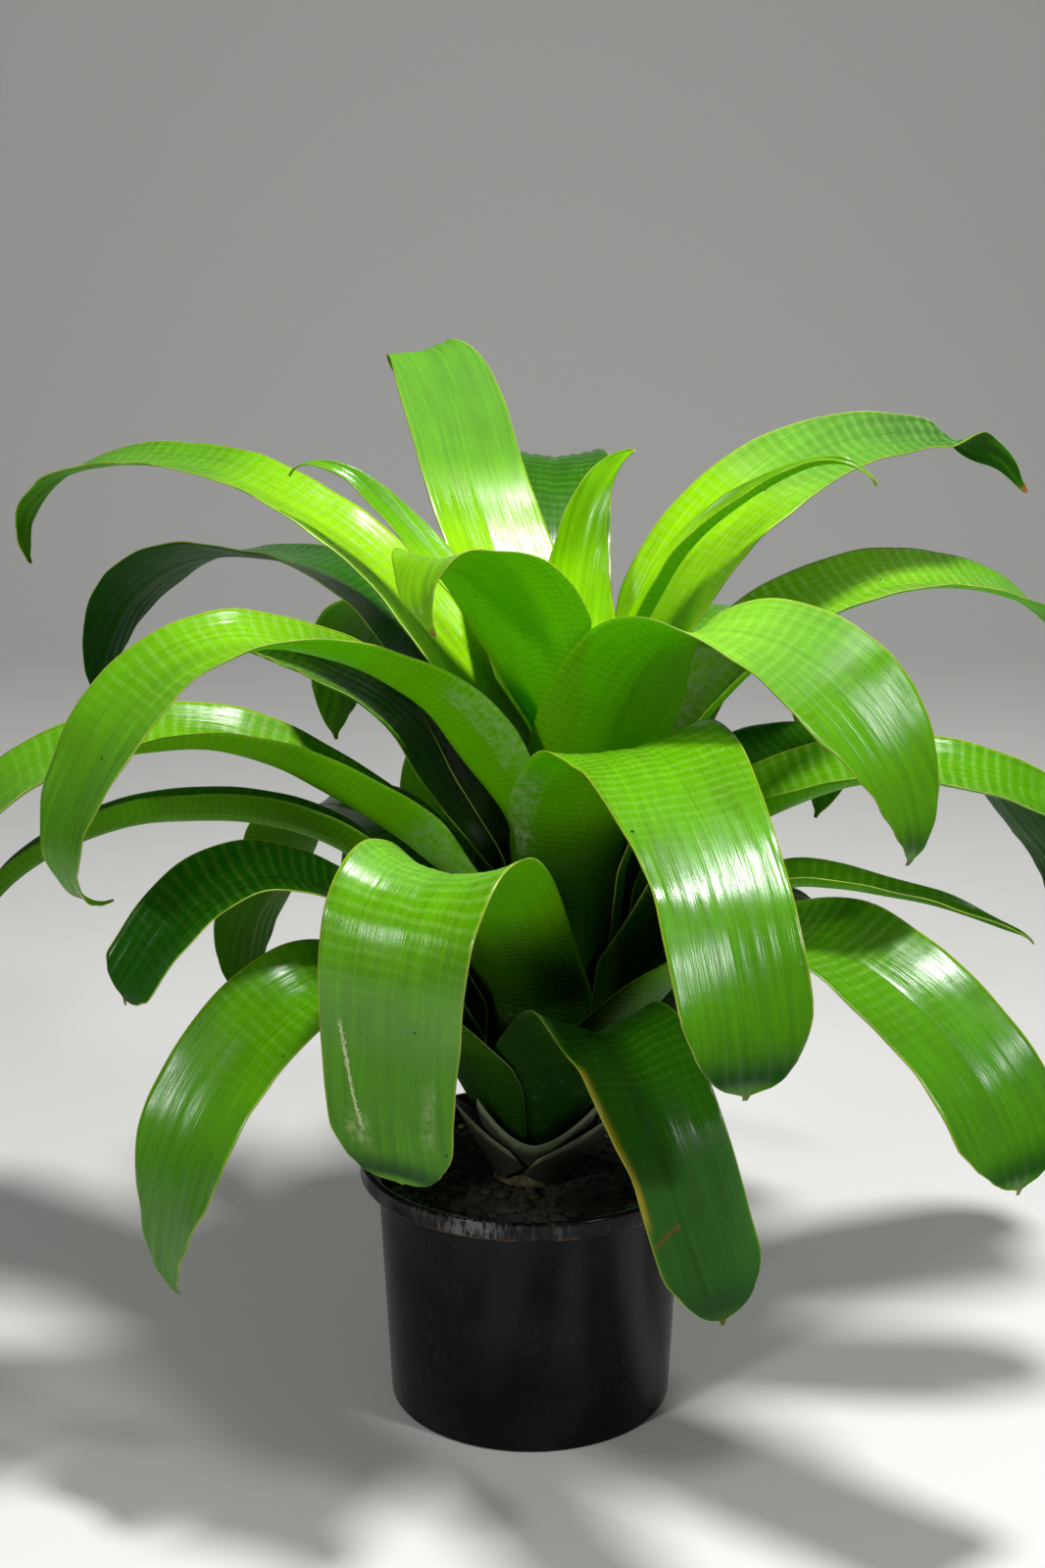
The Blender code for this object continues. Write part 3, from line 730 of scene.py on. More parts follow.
# %% Relief along the normals
CHANNEL_DEPTH = 0.0009
CHANNEL_HALF = 0.0045
PLEAT_PITCH = 0.0078
PLEAT_HEIGHT = 0.00022
PLEAT_WANDER = 0.0012
PLEAT_GROWTH = 1.6
GROWTH_REACH = 0.13
WAVE_HEIGHT = 0.0005
WAVE_LENGTH = 0.075
SHORT_WAVE = 0.43
SWELL_HEIGHT = 0.0007
TIP_ROLL = 0.0030
TIP_ROLL_LENGTH = 0.012


def soft_noise(x, y, seed):
    """Smooth noise from about -1 to 1 over a grid, from a few sine waves in random directions."""
    rng = np.random.default_rng(seed)
    found = np.zeros(np.broadcast(x, y).shape)
    for k in range(7):
        angle, phase = rng.uniform(0, 2 * math.pi, 2)
        pace = 0.6 + 0.35 * k
        step = x * math.cos(angle) + y * math.sin(angle)
        found += np.sin(pace * step * 2 * math.pi + phase) / (1 + 0.4 * k)
    return found / 2.6


def relief(sheet, seed, waves=1.0, pleats=1.0, tip_roll=1.0, gutter=1.0):
    """The sheet with its relief. The last four numbers make one kind of relief stronger or weaker."""
    along, across, v, free = (sheet[key] for key in ("along", "across", "v", "free"))
    to_tip = sheet["total"] - along
    phase = np.random.default_rng(seed).uniform(0, 2 * math.pi, 3)
    wander = PLEAT_WANDER * soft_noise(along / 0.06, across / 0.03, seed + 1)
    channel = np.exp(-((across / (CHANNEL_HALF * math.sqrt(gutter))) ** 2))
    moved = -gutter * CHANNEL_DEPTH * channel * smooth_step(to_tip / 0.05)
    near_tip = 1 + PLEAT_GROWTH * (1 - smooth_step(to_tip / GROWTH_REACH))
    pleat = np.sin(2 * math.pi * (across + wander) / PLEAT_PITCH + phase[0])
    moved = moved + pleats * PLEAT_HEIGHT * near_tip * pleat * smooth_step(to_tip / 0.02)
    wave = np.sin(2 * math.pi * along / WAVE_LENGTH + phase[1] + 1.3 * np.sign(v))
    short = np.sin(2 * math.pi * along / (SHORT_WAVE * WAVE_LENGTH) + phase[2] + 2.1 * np.sign(v))
    moved = moved + waves * WAVE_HEIGHT * (wave + 0.5 * short) * np.abs(v) ** 3
    swell = soft_noise(along / 0.11, across / 0.09, seed + 3)
    moved = moved + SWELL_HEIGHT * swell * smooth_step(to_tip / 0.03)
    rolled = 1 - np.clip(to_tip / TIP_ROLL_LENGTH, 0, 1)
    moved = moved * free - tip_roll * TIP_ROLL * rolled**2
    sheet["grid"] = sheet["grid"] + sheet["normal"] * moved[..., None]
    sheet["normal"] = upward(sheet["grid"])
    return sheet


print("relief ready")

# %% [markdown]
# ## Veins that the leaf materials share
#
# Fine veins run the whole length of a leaf, less than a millimetre apart. Image textures would need a
# photograph of each leaf. Noise in the leaf's own coordinates gives the same marks at the right size:
# each point of the mesh carries how far it lies along and across its leaf, in metres. Noise that is
# stretched along the leaf makes threads, and noise that is less stretched makes the cells in them.

# %% Group: fine veins
def make_fine_veins():
    group, given, result = new_group(
        "fine_veins",
        {"Place": (VECTOR, None), "Spacing": (FLOAT, 0.0008)},
        {"Vein": FLOAT, "Cell": FLOAT},
    )
    along, across, seed = split_vector(group, given.outputs["Place"])
    fast = calc(group, "DIVIDE", across, given.outputs["Spacing"])
    thread = vector_of(group, times(group, along, 14.0), fast, seed)
    cell = vector_of(group, times(group, along, 900.0), fast, seed)
    feed(group, result.inputs["Vein"], noise_value(group, thread, 1.0, 2.0, 0.6))
    feed(group, result.inputs["Cell"], noise_value(group, cell, 1.0, 1.0))
    return group


fine_veins = make_fine_veins()
print("group:", fine_veins.name)

# %% [markdown]
# ## Pale bands across the blade
#
# Where a leaf of this plant bends over, thin pale bands cross it from margin to margin, a few
# millimetres apart. A plain striped texture would look printed. Here a sine wave along the leaf is
# bent by slow noise, then broken into patches and crossed by streaks, so that no band runs straight.

# %% Group: bands across the leaf
def make_cross_bands():
    """Wavy bands across the blade, broken up into patches."""
    group, given, result = new_group(
        "cross_bands",
        {"Place": (VECTOR, None), "Spacing": (FLOAT, 0.005), "Warp": (FLOAT, 0.006)},
        {"Band": FLOAT},
    )
    along, across, seed = split_vector(group, given.outputs["Place"])

    def uneven(along_scale, across_scale):
        place = vector_of(group, times(group, along, along_scale), times(group, across, across_scale), seed)
        return noise_value(group, place, 1.0, 2.0)

    bent = calc(group, "SUBTRACT", uneven(34.0, 60.0), 0.5)
    shifted = plus(group, along, times(group, bent, times(group, given.outputs["Warp"], 4.0)))
    turns = calc(group, "DIVIDE", shifted, given.outputs["Spacing"])
    line = ramp(group, calc(group, "SINE", times(group, turns, 2 * math.pi)), -0.35, 1.0)
    patch = ramp(group, uneven(60.0, 45.0), 0.30, 0.60, 0.45, 1.0)
    streak = ramp(group, uneven(70.0, 900.0), 0.32, 0.62, 0.40, 1.0)
    feed(group, result.inputs["Band"], times(group, line, times(group, patch, streak)))
    return group


cross_bands = make_cross_bands()
print("group:", cross_bands.name)

# %% [markdown]
# ## Scurf and specks
#
# Bromeliads drink through tiny pale scales, which lie like dust on the sheath and on the foot of a
# blade. Real scales are a tenth of a millimetre wide, far too many to model, so wide noise says where
# they lie thick and fine noise breaks them into dust. A few cells of a Voronoi pattern, chosen by
# their random colour, each hold one round dark speck.

# %% Group: scurf and specks
def make_scurf():
    """A dust of tiny pale scales, and rare dark specks."""
    group, given, result = new_group(
        "scurf", {"Place": (VECTOR, None), "Amount": (FLOAT, 0.5)}, {"Scurf": FLOAT, "Speck": FLOAT}
    )
    place = given.outputs["Place"]
    wide = noise_value(group, place, 95.0, 3.0, 0.6)
    fine = noise_value(group, place, 1500.0, 2.0, 0.7)
    level = calc(group, "SUBTRACT", 1.05, given.outputs["Amount"])
    mixed = plus(group, times(group, wide, 0.6), times(group, fine, 0.4))
    low = calc(group, "SUBTRACT", times(group, level, 0.75), 0.08)
    feed(group, result.inputs["Scurf"], ramp(group, mixed, low, plus(group, low, 0.16)))
    dots = add_node(group, "ShaderNodeTexVoronoi", {"Vector": place, "Scale": 210.0})
    chosen = add_node(group, "ShaderNodeSeparateColor", {"Color": dots.outputs["Color"]}).outputs[0]
    size = ramp(group, chosen, 0.985, 1.0, 0.0, 0.22)
    feed(group, result.inputs["Speck"], calc(group, "LESS_THAN", dots.outputs["Distance"], size))
    return group


scurf_group = make_scurf()
print("group:", scurf_group.name)

# %% [markdown]
# ## Three finishes on one blade
#
# The face that looks up is a glossy saturated green, the underside is duller and darker, and the rim
# is a thin yellowish line. One sheet of points can wear all three: a Solidify modifier gives it
# 0.7 mm of thickness and hands the underside and the rim to other material slots. Each point carries
# six triples of numbers for the materials to read:
#
# - place: how far along and across the leaf it lies, and the leaf's seed
# - form: its place from margin to margin, from root to tip, and its distance to the tip
# - paint: youth, pale bands, scurf
# - ends: folded tip (its dark line partly painted shade), burnt tip, orange margin
# - wear_and_shade: dull stretch, painted shade on the sheath and foot, pale crust
# - scar: distance beside a scar, share of the way along it, how brown it is

# %% Colours and masks of a leaf
DEEP_GREEN = (0.009, 0.085, 0.0008)
BRIGHT_GREEN = (0.095, 0.300, 0.0010)
YOUNG_GREEN = (0.400, 0.780, 0.0016)
BAND_GREEN = (0.340, 0.560, 0.110)
UNDER_DEEP = (0.004, 0.050, 0.0006)
# The bright underside green is partly the leaf's own colour and partly a painted glow of light that passes
# through the blade.
UNDER_BRIGHT = (0.140, 0.430, 0.0010)
SHEATH_SHADE = (0.004, 0.022, 0.0010)
SCURF_GREY = (0.300, 0.360, 0.200)
PALE_SCALES = (0.420, 0.500, 0.280)
DRY_SCAR = (0.520, 0.520, 0.330)
ORANGE_MARGIN = (0.450, 0.300, 0.015)
RIM_YELLOW = (0.300, 0.330, 0.020)
RIM_GREEN = (0.130, 0.260, 0.006)
TIP_BROWN = (0.190, 0.075, 0.012)
SPECK_BROWN = (0.020, 0.014, 0.006)
DULLING = 0.60
SCAR_HALF = 0.0017
TIP_RAGGED = 0.006
UPPER_GLOSS = 0.40
UNDER_GLOSS = 0.07
UPPER_TRANSLUCENCY = 0.50
UNDER_TRANSLUCENCY = 0.85
LEAF_SCATTER = 0.0022
SCATTER_COLOURS = (0.6, 1.0, 0.04)


def attribute(tree, name):
    return add_node(tree, "ShaderNodeAttribute", attribute_name=name).outputs["Vector"]


def three_facts(tree, name):
    return split_vector(tree, attribute(tree, name))


def darkened(tree, base, shade):
    """The colour made darker or lighter, the same in red, green and blue."""
    grey = add_node(tree, "ShaderNodeCombineColor", {"Red": shade, "Green": shade, "Blue": shade})
    return blend_colours(tree, 1.0, base, grey.outputs[0], "MULTIPLY")


def let_light_through(shader, translucency):
    """A living blade glows on the side away from the light: green passes, red less, blue not at all."""
    shader.inputs["Subsurface Weight"].default_value = translucency
    shader.inputs["Subsurface Radius"].default_value = SCATTER_COLOURS
    shader.inputs["Subsurface Scale"].default_value = LEAF_SCATTER


def pale_mask(tree, pale, place):
    """Scales that have not rubbed off yet, in a broken crust."""
    return times(tree, pale, ramp(tree, noise_value(tree, place, 170.0, 5.0, 0.65), 0.36, 0.66))


def scar_mask(tree, beside, share, place):
    """A dry scratch: its half-width wanders, and it fades at both ends."""
    width = ramp(tree, noise_value(tree, place, 700.0, 3.0, 0.7), 0.35, 0.70, 0.0, SCAR_HALF)
    inside = calc(tree, "LESS_THAN", calc(tree, "ABSOLUTE", beside), width)
    off_middle = calc(tree, "ABSOLUTE", calc(tree, "SUBTRACT", share, 0.5))
    return times(tree, inside, ramp(tree, off_middle, 0.44, 0.52, 1.0, 0.0))


def burn_tip(tree, base, burnt, to_tip, place):
    """The last few millimetres are dry and brown, with a ragged border."""
    ragged = times(tree, noise_value(tree, place, 260.0, 3.0), TIP_RAGGED)
    mask = ramp(tree, calc(tree, "SUBTRACT", to_tip, ragged), -0.001, 0.004, 1.0, 0.0)
    return cover(tree, base, TIP_BROWN, times(tree, burnt, mask))


def dust_leaf(tree, base, scurf, place, amount):
    marks = use_group(tree, scurf_group, Place=place, Amount=scurf)
    base = cover(tree, base, SCURF_GREY, marks.outputs["Scurf"], amount)
    return cover(tree, base, SPECK_BROWN, marks.outputs["Speck"])


print("leaf colours and masks ready")

# %% [markdown]
# ## The upper face
#
# The colour starts from the leaf's youth, which also carries painted shade, and is then laid over, mark by
# mark: veins and pleats, pale bands, the yellow margin, scurf, a folded tip whose dark line is partly
# painted shade, a burnt tip, scales and scars. The same veins and bands make a fine bump, and the sheen is
# smooth where the leaf is glossy and broad where it is dull.

# %% The upper face
def make_leaf_upper():
    made, tree, shader = new_material("leaf_upper_green")
    place = attribute(tree, "place")
    v, _, to_tip = three_facts(tree, "form")
    young, bands, scurf = three_facts(tree, "paint")
    fold, burnt, orange = three_facts(tree, "ends")
    dull, _, pale = three_facts(tree, "wear_and_shade")
    beside, share, brown = three_facts(tree, "scar")
    veins = use_group(tree, fine_veins, Place=place, Spacing=0.0006)
    pleats = use_group(tree, fine_veins, Place=place, Spacing=0.0026)
    band = use_group(tree, cross_bands, Place=place, Spacing=0.0067, Warp=0.0010).outputs["Band"]
    band = calc(tree, "MULTIPLY", band, bands, clamp=True)

    greener = ramp(tree, young, 0.0, 0.5, smooth=False)
    base = blend_colours(tree, greener, DEEP_GREEN, BRIGHT_GREEN)
    base = cover(tree, base, YOUNG_GREEN, ramp(tree, young, 0.5, 1.0, smooth=False))
    blotch = noise_value(tree, place, 22.0, 3.0, 0.55)
    shade = ramp(tree, blotch, 0.3, 0.7, 0.84, 1.12, smooth=False)
    fine = ramp(tree, veins.outputs["Vein"], 0.25, 0.75, 0.86, 1.12, smooth=False)
    wide = ramp(tree, pleats.outputs["Vein"], 0.25, 0.75, 0.84, 1.14, smooth=False)
    base = darkened(tree, base, times(tree, shade, times(tree, fine, wide)))
    base = cover(tree, base, BAND_GREEN, band, 0.32)
    margin = ramp(tree, calc(tree, "ABSOLUTE", v), 0.965, 0.995)
    base = cover(tree, base, RIM_YELLOW, margin, 0.6)
    base = dust_leaf(tree, base, scurf, place, 0.30)
    # A folded tip gets a dark line behind its end: partly the leaf's own darker green and partly painted
    # shade of the crease.
    base = cover(tree, base, UNDER_DEEP, fold)
    base = cover(tree, base, ORANGE_MARGIN, orange, 0.8)
    base = cover(tree, base, PALE_SCALES, pale_mask(tree, pale, place), 0.7)
    scarred = scar_mask(tree, beside, share, place)
    base = cover(tree, base, blend_colours(tree, brown, DRY_SCAR, TIP_BROWN), scarred, 0.85)
    base = burn_tip(tree, base, burnt, to_tip, place)

    rough = ramp(tree, noise_value(tree, place, 60.0, 3.0), 0.3, 0.7, 0.18, 0.25, smooth=False)
    rough = plus(tree, rough, times(tree, band, 0.06))
    rough = plus(tree, rough, times(tree, dull, DULLING))
    rough = plus(tree, rough, times(tree, scarred, 0.3))
    height = plus(tree, veins.outputs["Vein"], times(tree, pleats.outputs["Vein"], 1.6))
    height = plus(tree, height, times(tree, veins.outputs["Cell"], 0.2))
    height = plus(tree, height, times(tree, band, 0.15))
    surface(tree, shader, base, rough, height, 0.45, 0.0004)
    shader.inputs["Specular IOR Level"].default_value = UPPER_GLOSS
    let_light_through(shader, UPPER_TRANSLUCENCY)
    return made


leaf_finishes = [make_leaf_upper()]
print("finish:", leaf_finishes[0].name)

# %% [markdown]
# ## The underside and the rim
#
# The underside hardly shines. It glows where the sun is behind it, and its foot is darkened by painted
# shade, with closer bands that grow darker there. The rim is only as wide as the leaf is thick, so it needs
# no more than its tone.

# %% The underside and the rim
def make_leaf_under():
    made, tree, shader = new_material("leaf_under_green")
    place = attribute(tree, "place")
    to_tip = three_facts(tree, "form")[2]
    young, _, scurf = three_facts(tree, "paint")
    burnt = three_facts(tree, "ends")[1]
    _, shaded, pale = three_facts(tree, "wear_and_shade")
    veins = use_group(tree, fine_veins, Place=place, Spacing=0.0008)
    band = use_group(tree, cross_bands, Place=place, Spacing=0.0038, Warp=0.0022).outputs["Band"]

    # Young undersides are painted bright: partly their own green, partly a painted glow of light through
    # the blade.
    greener = ramp(tree, young, 0.0, 0.55, smooth=False)
    base = blend_colours(tree, greener, UNDER_DEEP, UNDER_BRIGHT)
    base = darkened(tree, base, ramp(tree, veins.outputs["Vein"], 0.25, 0.75, 0.84, 1.14, smooth=False))
    # Painted shade on the sheath and foot; the underside's own dark bands are drawn stronger where it lies.
    base = cover(tree, base, SHEATH_SHADE, shaded, 0.75)
    stripes = times(tree, band, ramp(tree, shaded, 0.0, 1.0, 0.18, 0.85))
    base = cover(tree, base, SHEATH_SHADE, stripes)
    base = dust_leaf(tree, base, scurf, place, 0.25)
    base = cover(tree, base, PALE_SCALES, pale_mask(tree, pale, place), 0.6)
    base = burn_tip(tree, base, burnt, to_tip, place)

    rough = ramp(tree, noise_value(tree, place, 50.0, 3.0), 0.3, 0.7, 0.46, 0.60, smooth=False)
    height = plus(tree, veins.outputs["Vein"], times(tree, veins.outputs["Cell"], 0.3))
    surface(tree, shader, base, rough, height, 0.3, 0.0004)
    shader.inputs["Specular IOR Level"].default_value = UNDER_GLOSS
    let_light_through(shader, UNDER_TRANSLUCENCY)
    return made


def make_leaf_rim():
    made, tree, shader = new_material("leaf_rim")
    place = attribute(tree, "place")
    tone = noise_value(tree, place, 90.0, 3.0)
    base = blend_colours(tree, ramp(tree, tone, 0.35, 0.65), RIM_GREEN, RIM_YELLOW)
    to_tip, burnt = three_facts(tree, "form")[2], three_facts(tree, "ends")[1]
    feed(tree, shader.inputs["Base Color"], burn_tip(tree, base, burnt, to_tip, place))
    feed(tree, shader.inputs["Roughness"], ramp(tree, tone, 0.3, 0.7, 0.4, 0.6))
    return made


leaf_finishes += [make_leaf_under(), make_leaf_rim()]
print("finishes:", [finish.name for finish in leaf_finishes])

# %% [markdown]
# ## What makes each leaf different
#
# The youngest leaves in the heart are yellow-green, and the outer ones are deeper. On a real plant
# each leaf also has marks of its own: a tip that folded or burnt, a stretch that catches the light, a
# crust of scales, a scratch. They could be modelled one by one, but then no two leaves would share a
# rule. So a row below holds only what is special about a leaf, under the leaf's number. The rest
# follows from its rank, counted outwards from the heart.
#
# - paint: youth, pale bands and scurf, each from 0 to 1; a low youth is also painted shade on leaves that
#   lie in shadow
# - glossy: the stretch that shines, as shares of the leaf's length; the rest of that leaf is dull
# - painted_shade_end: how much youth the outer part of the blade loses, as painted shade where it bends
#   away from the light
# - pale, orange_edge: boxes of (low s, high s, low v, high v, amount), from root to tip and across
# - scar: the two ends of a scratch, in metres along and across the leaf
# - relief: what to multiply the waves, the pleats, the rolled tip and the channel by

# %% Looks of the leaves
YOUNG_LEAVES = 6
YELLOW_FEET = 8
SHADED_RANK = 17
YOUTH_RANKS = [0, 4, 8, 16, 24, 32]
YOUTH_STEPS = [1.0, 0.85, 0.5, 0.35, 0.3, 0.2]
USUAL_BANDS = 0.45
USUAL_SCURF = 0.2
USUAL_PAINTED_SHADE_END = 0.4
SOUND_TIP = 0.35
FOOT_YOUTH = 0.28
HEART_YOUTH = 0.15
# How much youth the sheath loses outside the heart: painted shade deep in the rosette.
SHEATH_SHADE_DARKENING = 0.85

LOOKS = {
    1: {"paint": (1.0, 0.0, 0.0)},
    2: {"paint": (1.0, 0.0, 0.0), "relief": (0.5, 0.5, 0.3)},
    3: {"paint": (0.80, 0.2, 0.0)},
    4: {"paint": (0.75, 0.2, 0.0)},
    5: {"paint": (1.0, 0.0, 0.1), "burnt_tip": 1.0, "relief": (0.2, 0.2, 0.0)},
    6: {"paint": (0.55, 0.05, 0.1), "glossy": (0.50, 0.67)},
    7: {"paint": (0.50, 0.6, 0.1), "burnt_tip": 1.0, "glossy": (0.30, 0.62), "painted_shade_end": 0.9},
    8: {"paint": (0.54, 0.5, 0.1), "pale": [(0.30, 0.62, 0.80, 1.10, 1.0)]},
    # Leaf 9 stands at the back in shadow: its low youth is painted shade.
    9: {"paint": (0.10, 0.3, 0.1)},
    10: {"paint": (0.57, 0.6, 0.1), "folded_tip": 0.7, "burnt_tip": 0.7, "glossy": (0.80, 0.97)},
    11: {"paint": (0.60, 0.7, 0.1), "painted_shade_end": 0.5, "pale": [(0.36, 0.46, 0.55, 1.10, 0.7)]},
    12: {
        "paint": (0.50, 0.6, 0.1),
        "folded_tip": 1.0,
        "painted_shade_end": 0.5,
        "pale": [(0.32, 0.43, -1.10, -0.65, 0.8)],
    },
    13: {"paint": (0.58, 1.0, 0.3), "pale": [(0.34, 0.50, 0.20, 1.10, 0.7)]},
    # Leaf 14 lies in shadow at the back left: its low youth is painted shade.
    14: {"paint": (0.02, 0.2, 0.0)},
    17: {"paint": (0.55, 1.0, 0.3), "pale": [(0.24, 0.37, -1.10, 1.10, 0.6)]},
    18: {
        "paint": (0.48, 0.7, 0.2),
        "folded_tip": 1.0,
        "glossy": (0.62, 0.76),
        "pale": [(0.83, 0.92, 0.50, 0.68, 0.5), (0.90, 0.94, -0.75, -0.40, 0.6)],
        "scar": ((0.340, -0.0285), (0.404, -0.0172)),
    },
    19: {"paint": (0.42, 0.8, 0.2)},
    25: {"paint": (0.34, 0.5, 0.1), "folded_tip": 0.9},
    # Leaf 26 lies in shadow under the leaves above it: its low youth is painted shade.
    26: {"paint": (0.0, 0.3, 0.1)},
    27: {"paint": (0.05, 0.2, 0.1)},
    28: {
        # Leaf 28 lies in shadow under the two front leaves: its low youth is painted shade.
        "paint": (0.06, 0.2, 0.2),
        "folded_tip": 0.9,
        "glossy": (0.50, 0.70),
        "orange_edge": [(0.57, 0.84, -1.10, -0.90, 0.9)],
        "scar": ((0.297, -0.0270), (0.289, -0.0080)),
        "brown_scar": 1.0,
        "relief": (1.0, 0.7, 1.0, 4.0),
    },
    30: {"paint": (0.32, 0.3, 0.1)},
}
print("leaves with marks of their own:", len(LOOKS))

# %% [markdown]
# ## From a row of looks to facts at each point
#
# A material can't know where on a leaf it is, or which leaf it is on. So every point of a mesh gets
# the numbers that answer this, and one material can dress all the leaves. Painting them by hand as
# weights would take thirty-three paintings. Soft steps along and across the leaf give the same.

# %% Facts for the materials
FOLD_FROM_TIP = 0.011
FOLD_LINE = 0.0035
FAR_OFF = 0.05
WHOLE_LEAF = (-1, 2)


def soft_patches(sheet, patches):
    """Where the soft-edged boxes lie on the sheet, from 0 to 1."""
    found = np.zeros(sheet["v"].shape)
    for low_s, high_s, low_v, high_v, amount in patches:
        share = amount
        for key, low, high, border in (("s", low_s, high_s, 0.03), ("v", low_v, high_v, 0.12)):
            share = share * smooth_step((sheet[key] - low) / border + 0.5)
            share = share * smooth_step((high - sheet[key]) / border + 0.5)
        found = np.maximum(found, share)
    return found


def scar_facts(sheet, ends):
    """How far each point lies beside a straight scar, and its share of the way along it."""
    if not ends:
        return np.full(sheet["v"].shape, FAR_OFF), np.zeros(sheet["v"].shape)
    (x0, y0), (x1, y1) = ends
    length = math.hypot(x1 - x0, y1 - y0)
    along, across = sheet["along"] - x0, sheet["across"] - y0
    beside = (along * (y1 - y0) - across * (x1 - x0)) / length
    return beside, (along * (x1 - x0) + across * (y1 - y0)) / length**2


def leaf_facts(sheet, look, rank, seed):
    """The six triples of numbers that the materials read at each point."""
    v, s, along, crest = (sheet[key] for key in ("v", "s", "along", "crest"))
    past_throat = along - sheet["throat"]
    to_tip = sheet["total"] - along

    def everywhere(value):
        return np.full(v.shape, float(value))

    usual = (float(np.interp(rank, YOUTH_RANKS, YOUTH_STEPS)), USUAL_BANDS, USUAL_SCURF)
    young, bands, scurf = look.get("paint", usual)
    in_sheath = 1 - smooth_step((past_throat + 0.02) / 0.06)
    # Outside the heart the sheath is painted darker, as painted shade deep in the rosette; heart leaves get
    # a paler sheath of their own.
    change = HEART_YOUTH if rank < YOUNG_LEAVES else -SHEATH_SHADE_DARKENING * young
    young = np.clip(young + change * in_sheath, 0, 1)
    # Painted shade: the outer part of the blade is painted darker where it bends away from the light.
    young = young * (1 - look.get("painted_shade_end", USUAL_PAINTED_SHADE_END) * smooth_step((s - 0.62) / 0.3))
    if rank < YELLOW_FEET:
        young = young + FOOT_YOUTH * (1 - smooth_step((s - 0.52) / 0.28))
    bands = bands * smooth_step((past_throat - 0.01) / 0.05)
    bands = bands * (1 - 0.92 * smooth_step((along - crest - 0.02) / 0.08))
    scurf = scurf * (0.3 + 0.7 * (1 - smooth_step(past_throat / 0.12)))

    # Where the tip folds under, a dark line lies behind it, partly painted shade.
    fold_width = np.where(to_tip > FOLD_FROM_TIP, 3 * FOLD_LINE, FOLD_LINE)
    fold = np.exp(-(((to_tip - FOLD_FROM_TIP) / fold_width) ** 2)) * look.get("folded_tip", 0)
    low, high = look.get("glossy", WHOLE_LEAF)
    dull = 1 - smooth_step((s - low) / 0.07 + 1) * smooth_step((high - s) / 0.07 + 1)
    # Painted shade: the sheath is painted darker deep in the rosette, and on the outer leaves the foot of
    # the blade too.
    shaded = 0.45 * in_sheath
    if rank >= SHADED_RANK:
        shaded = 1 - smooth_step((past_throat - 0.03) / 0.07)
    beside, share = scar_facts(sheet, look.get("scar"))
    orange = soft_patches(sheet, look.get("orange_edge", []))
    pale = soft_patches(sheet, look.get("pale", []))
    return {
        "place": (along, sheet["across"], everywhere(seed * 3.7)),
        "form": (v, s, to_tip),
        "paint": (np.clip(young, 0, 1), bands, scurf),
        "ends": (fold, everywhere(look.get("burnt_tip", SOUND_TIP)), orange),
        "wear_and_shade": (dull, shaded, pale),
        "scar": (beside, share, everywhere(look.get("brown_scar", 0))),
    }


print("facts ready: place, form, paint, ends, wear, scar")

# %% [markdown]
# ## The leaves
#
# A blade is one sheet of quads, with an upper and a lower face as far apart as a real leaf is thick.
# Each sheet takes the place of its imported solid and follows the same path. Modelling the two faces
# by hand would double the work and could let them cross.

# %% Build the leaves
BLADE_THICKNESS = 0.0007


def sheet_object(name, grid, facts):
    """A mesh from a grid of points, with the facts that its materials read."""
    rows, columns = grid.shape[:2]
    faces = []
    for i in range(rows - 1):
        for a in range(i * columns, (i + 1) * columns - 1):
            faces.append((a, a + columns, a + columns + 1, a + 1))
    made = mesh_object(name, grid.reshape(-1, 3), faces)
    for key, values in facts.items():
        stored = made.data.attributes.new(key, "FLOAT_VECTOR", "POINT")
        stored.data.foreach_set("vector", np.stack(values, -1).astype(np.float32).ravel())
    for finish in leaf_finishes:
        made.data.materials.append(finish)
    thick = made.modifiers.new("blade_thickness", "SOLIDIFY")
    thick.thickness = BLADE_THICKNESS
    thick.offset = 0
    thick.material_offset = 1
    thick.material_offset_rim = 2
    return made


for rank, design in enumerate(LEAVES):
    look = LOOKS.get(rank + 1, {})
    sheet = relief(leaf_sheet(design, rank), rank * 10, *look.get("relief", ()))
    facts = leaf_facts(sheet, look, rank, rank + 1)
    blade = sheet_object(design["name"] + "_blade", sheet["grid"], facts)
    keep_piece(blade, "young_leaf" if rank < YOUNG_LEAVES else "leaf", design["name"])
print("blades:", len(LEAVES), "with", BLADE_ROWS + SHEATH_ROWS + FLARE_ROWS, "rows at most")

# %% [markdown]
# ## Old leaf bases
#
# Below the last living leaf, cut and dried leaf bases still grip the stem. Each is a short crescent,
# low in the middle or low at the margins, dark, and pale along the ragged cut. It is the sheath part
# of a leaf and nothing else, so it is drawn by a shorter rule and not by bending a whole leaf. A row
# gives the direction, the place after the last leaf, the heights of the cut in the middle and at the
# margins, and the width, in metres.

# %% Old leaf bases
OLD_BASES = [
    ("old_leaf_base_front", 268, 1, 0.024, 0.056, 0.076),
    ("old_leaf_base_right", 325, 4, 0.046, 0.022, 0.066),
    ("old_leaf_base_left", 196, 3, 0.050, 0.024, 0.066),
    ("old_leaf_base_back", 45, 2, 0.040, 0.018, 0.066),
]
CUT_CURVE = 1.6
HUSK_ROWS = 40
HUSK_SEED = 50
HUSK_LOOK = {"paint": (0.3, 0, 0.8)}
HUSK_DARK = (0.014, 0.018, 0.009)
HUSK_PALE = (0.150, 0.185, 0.095)


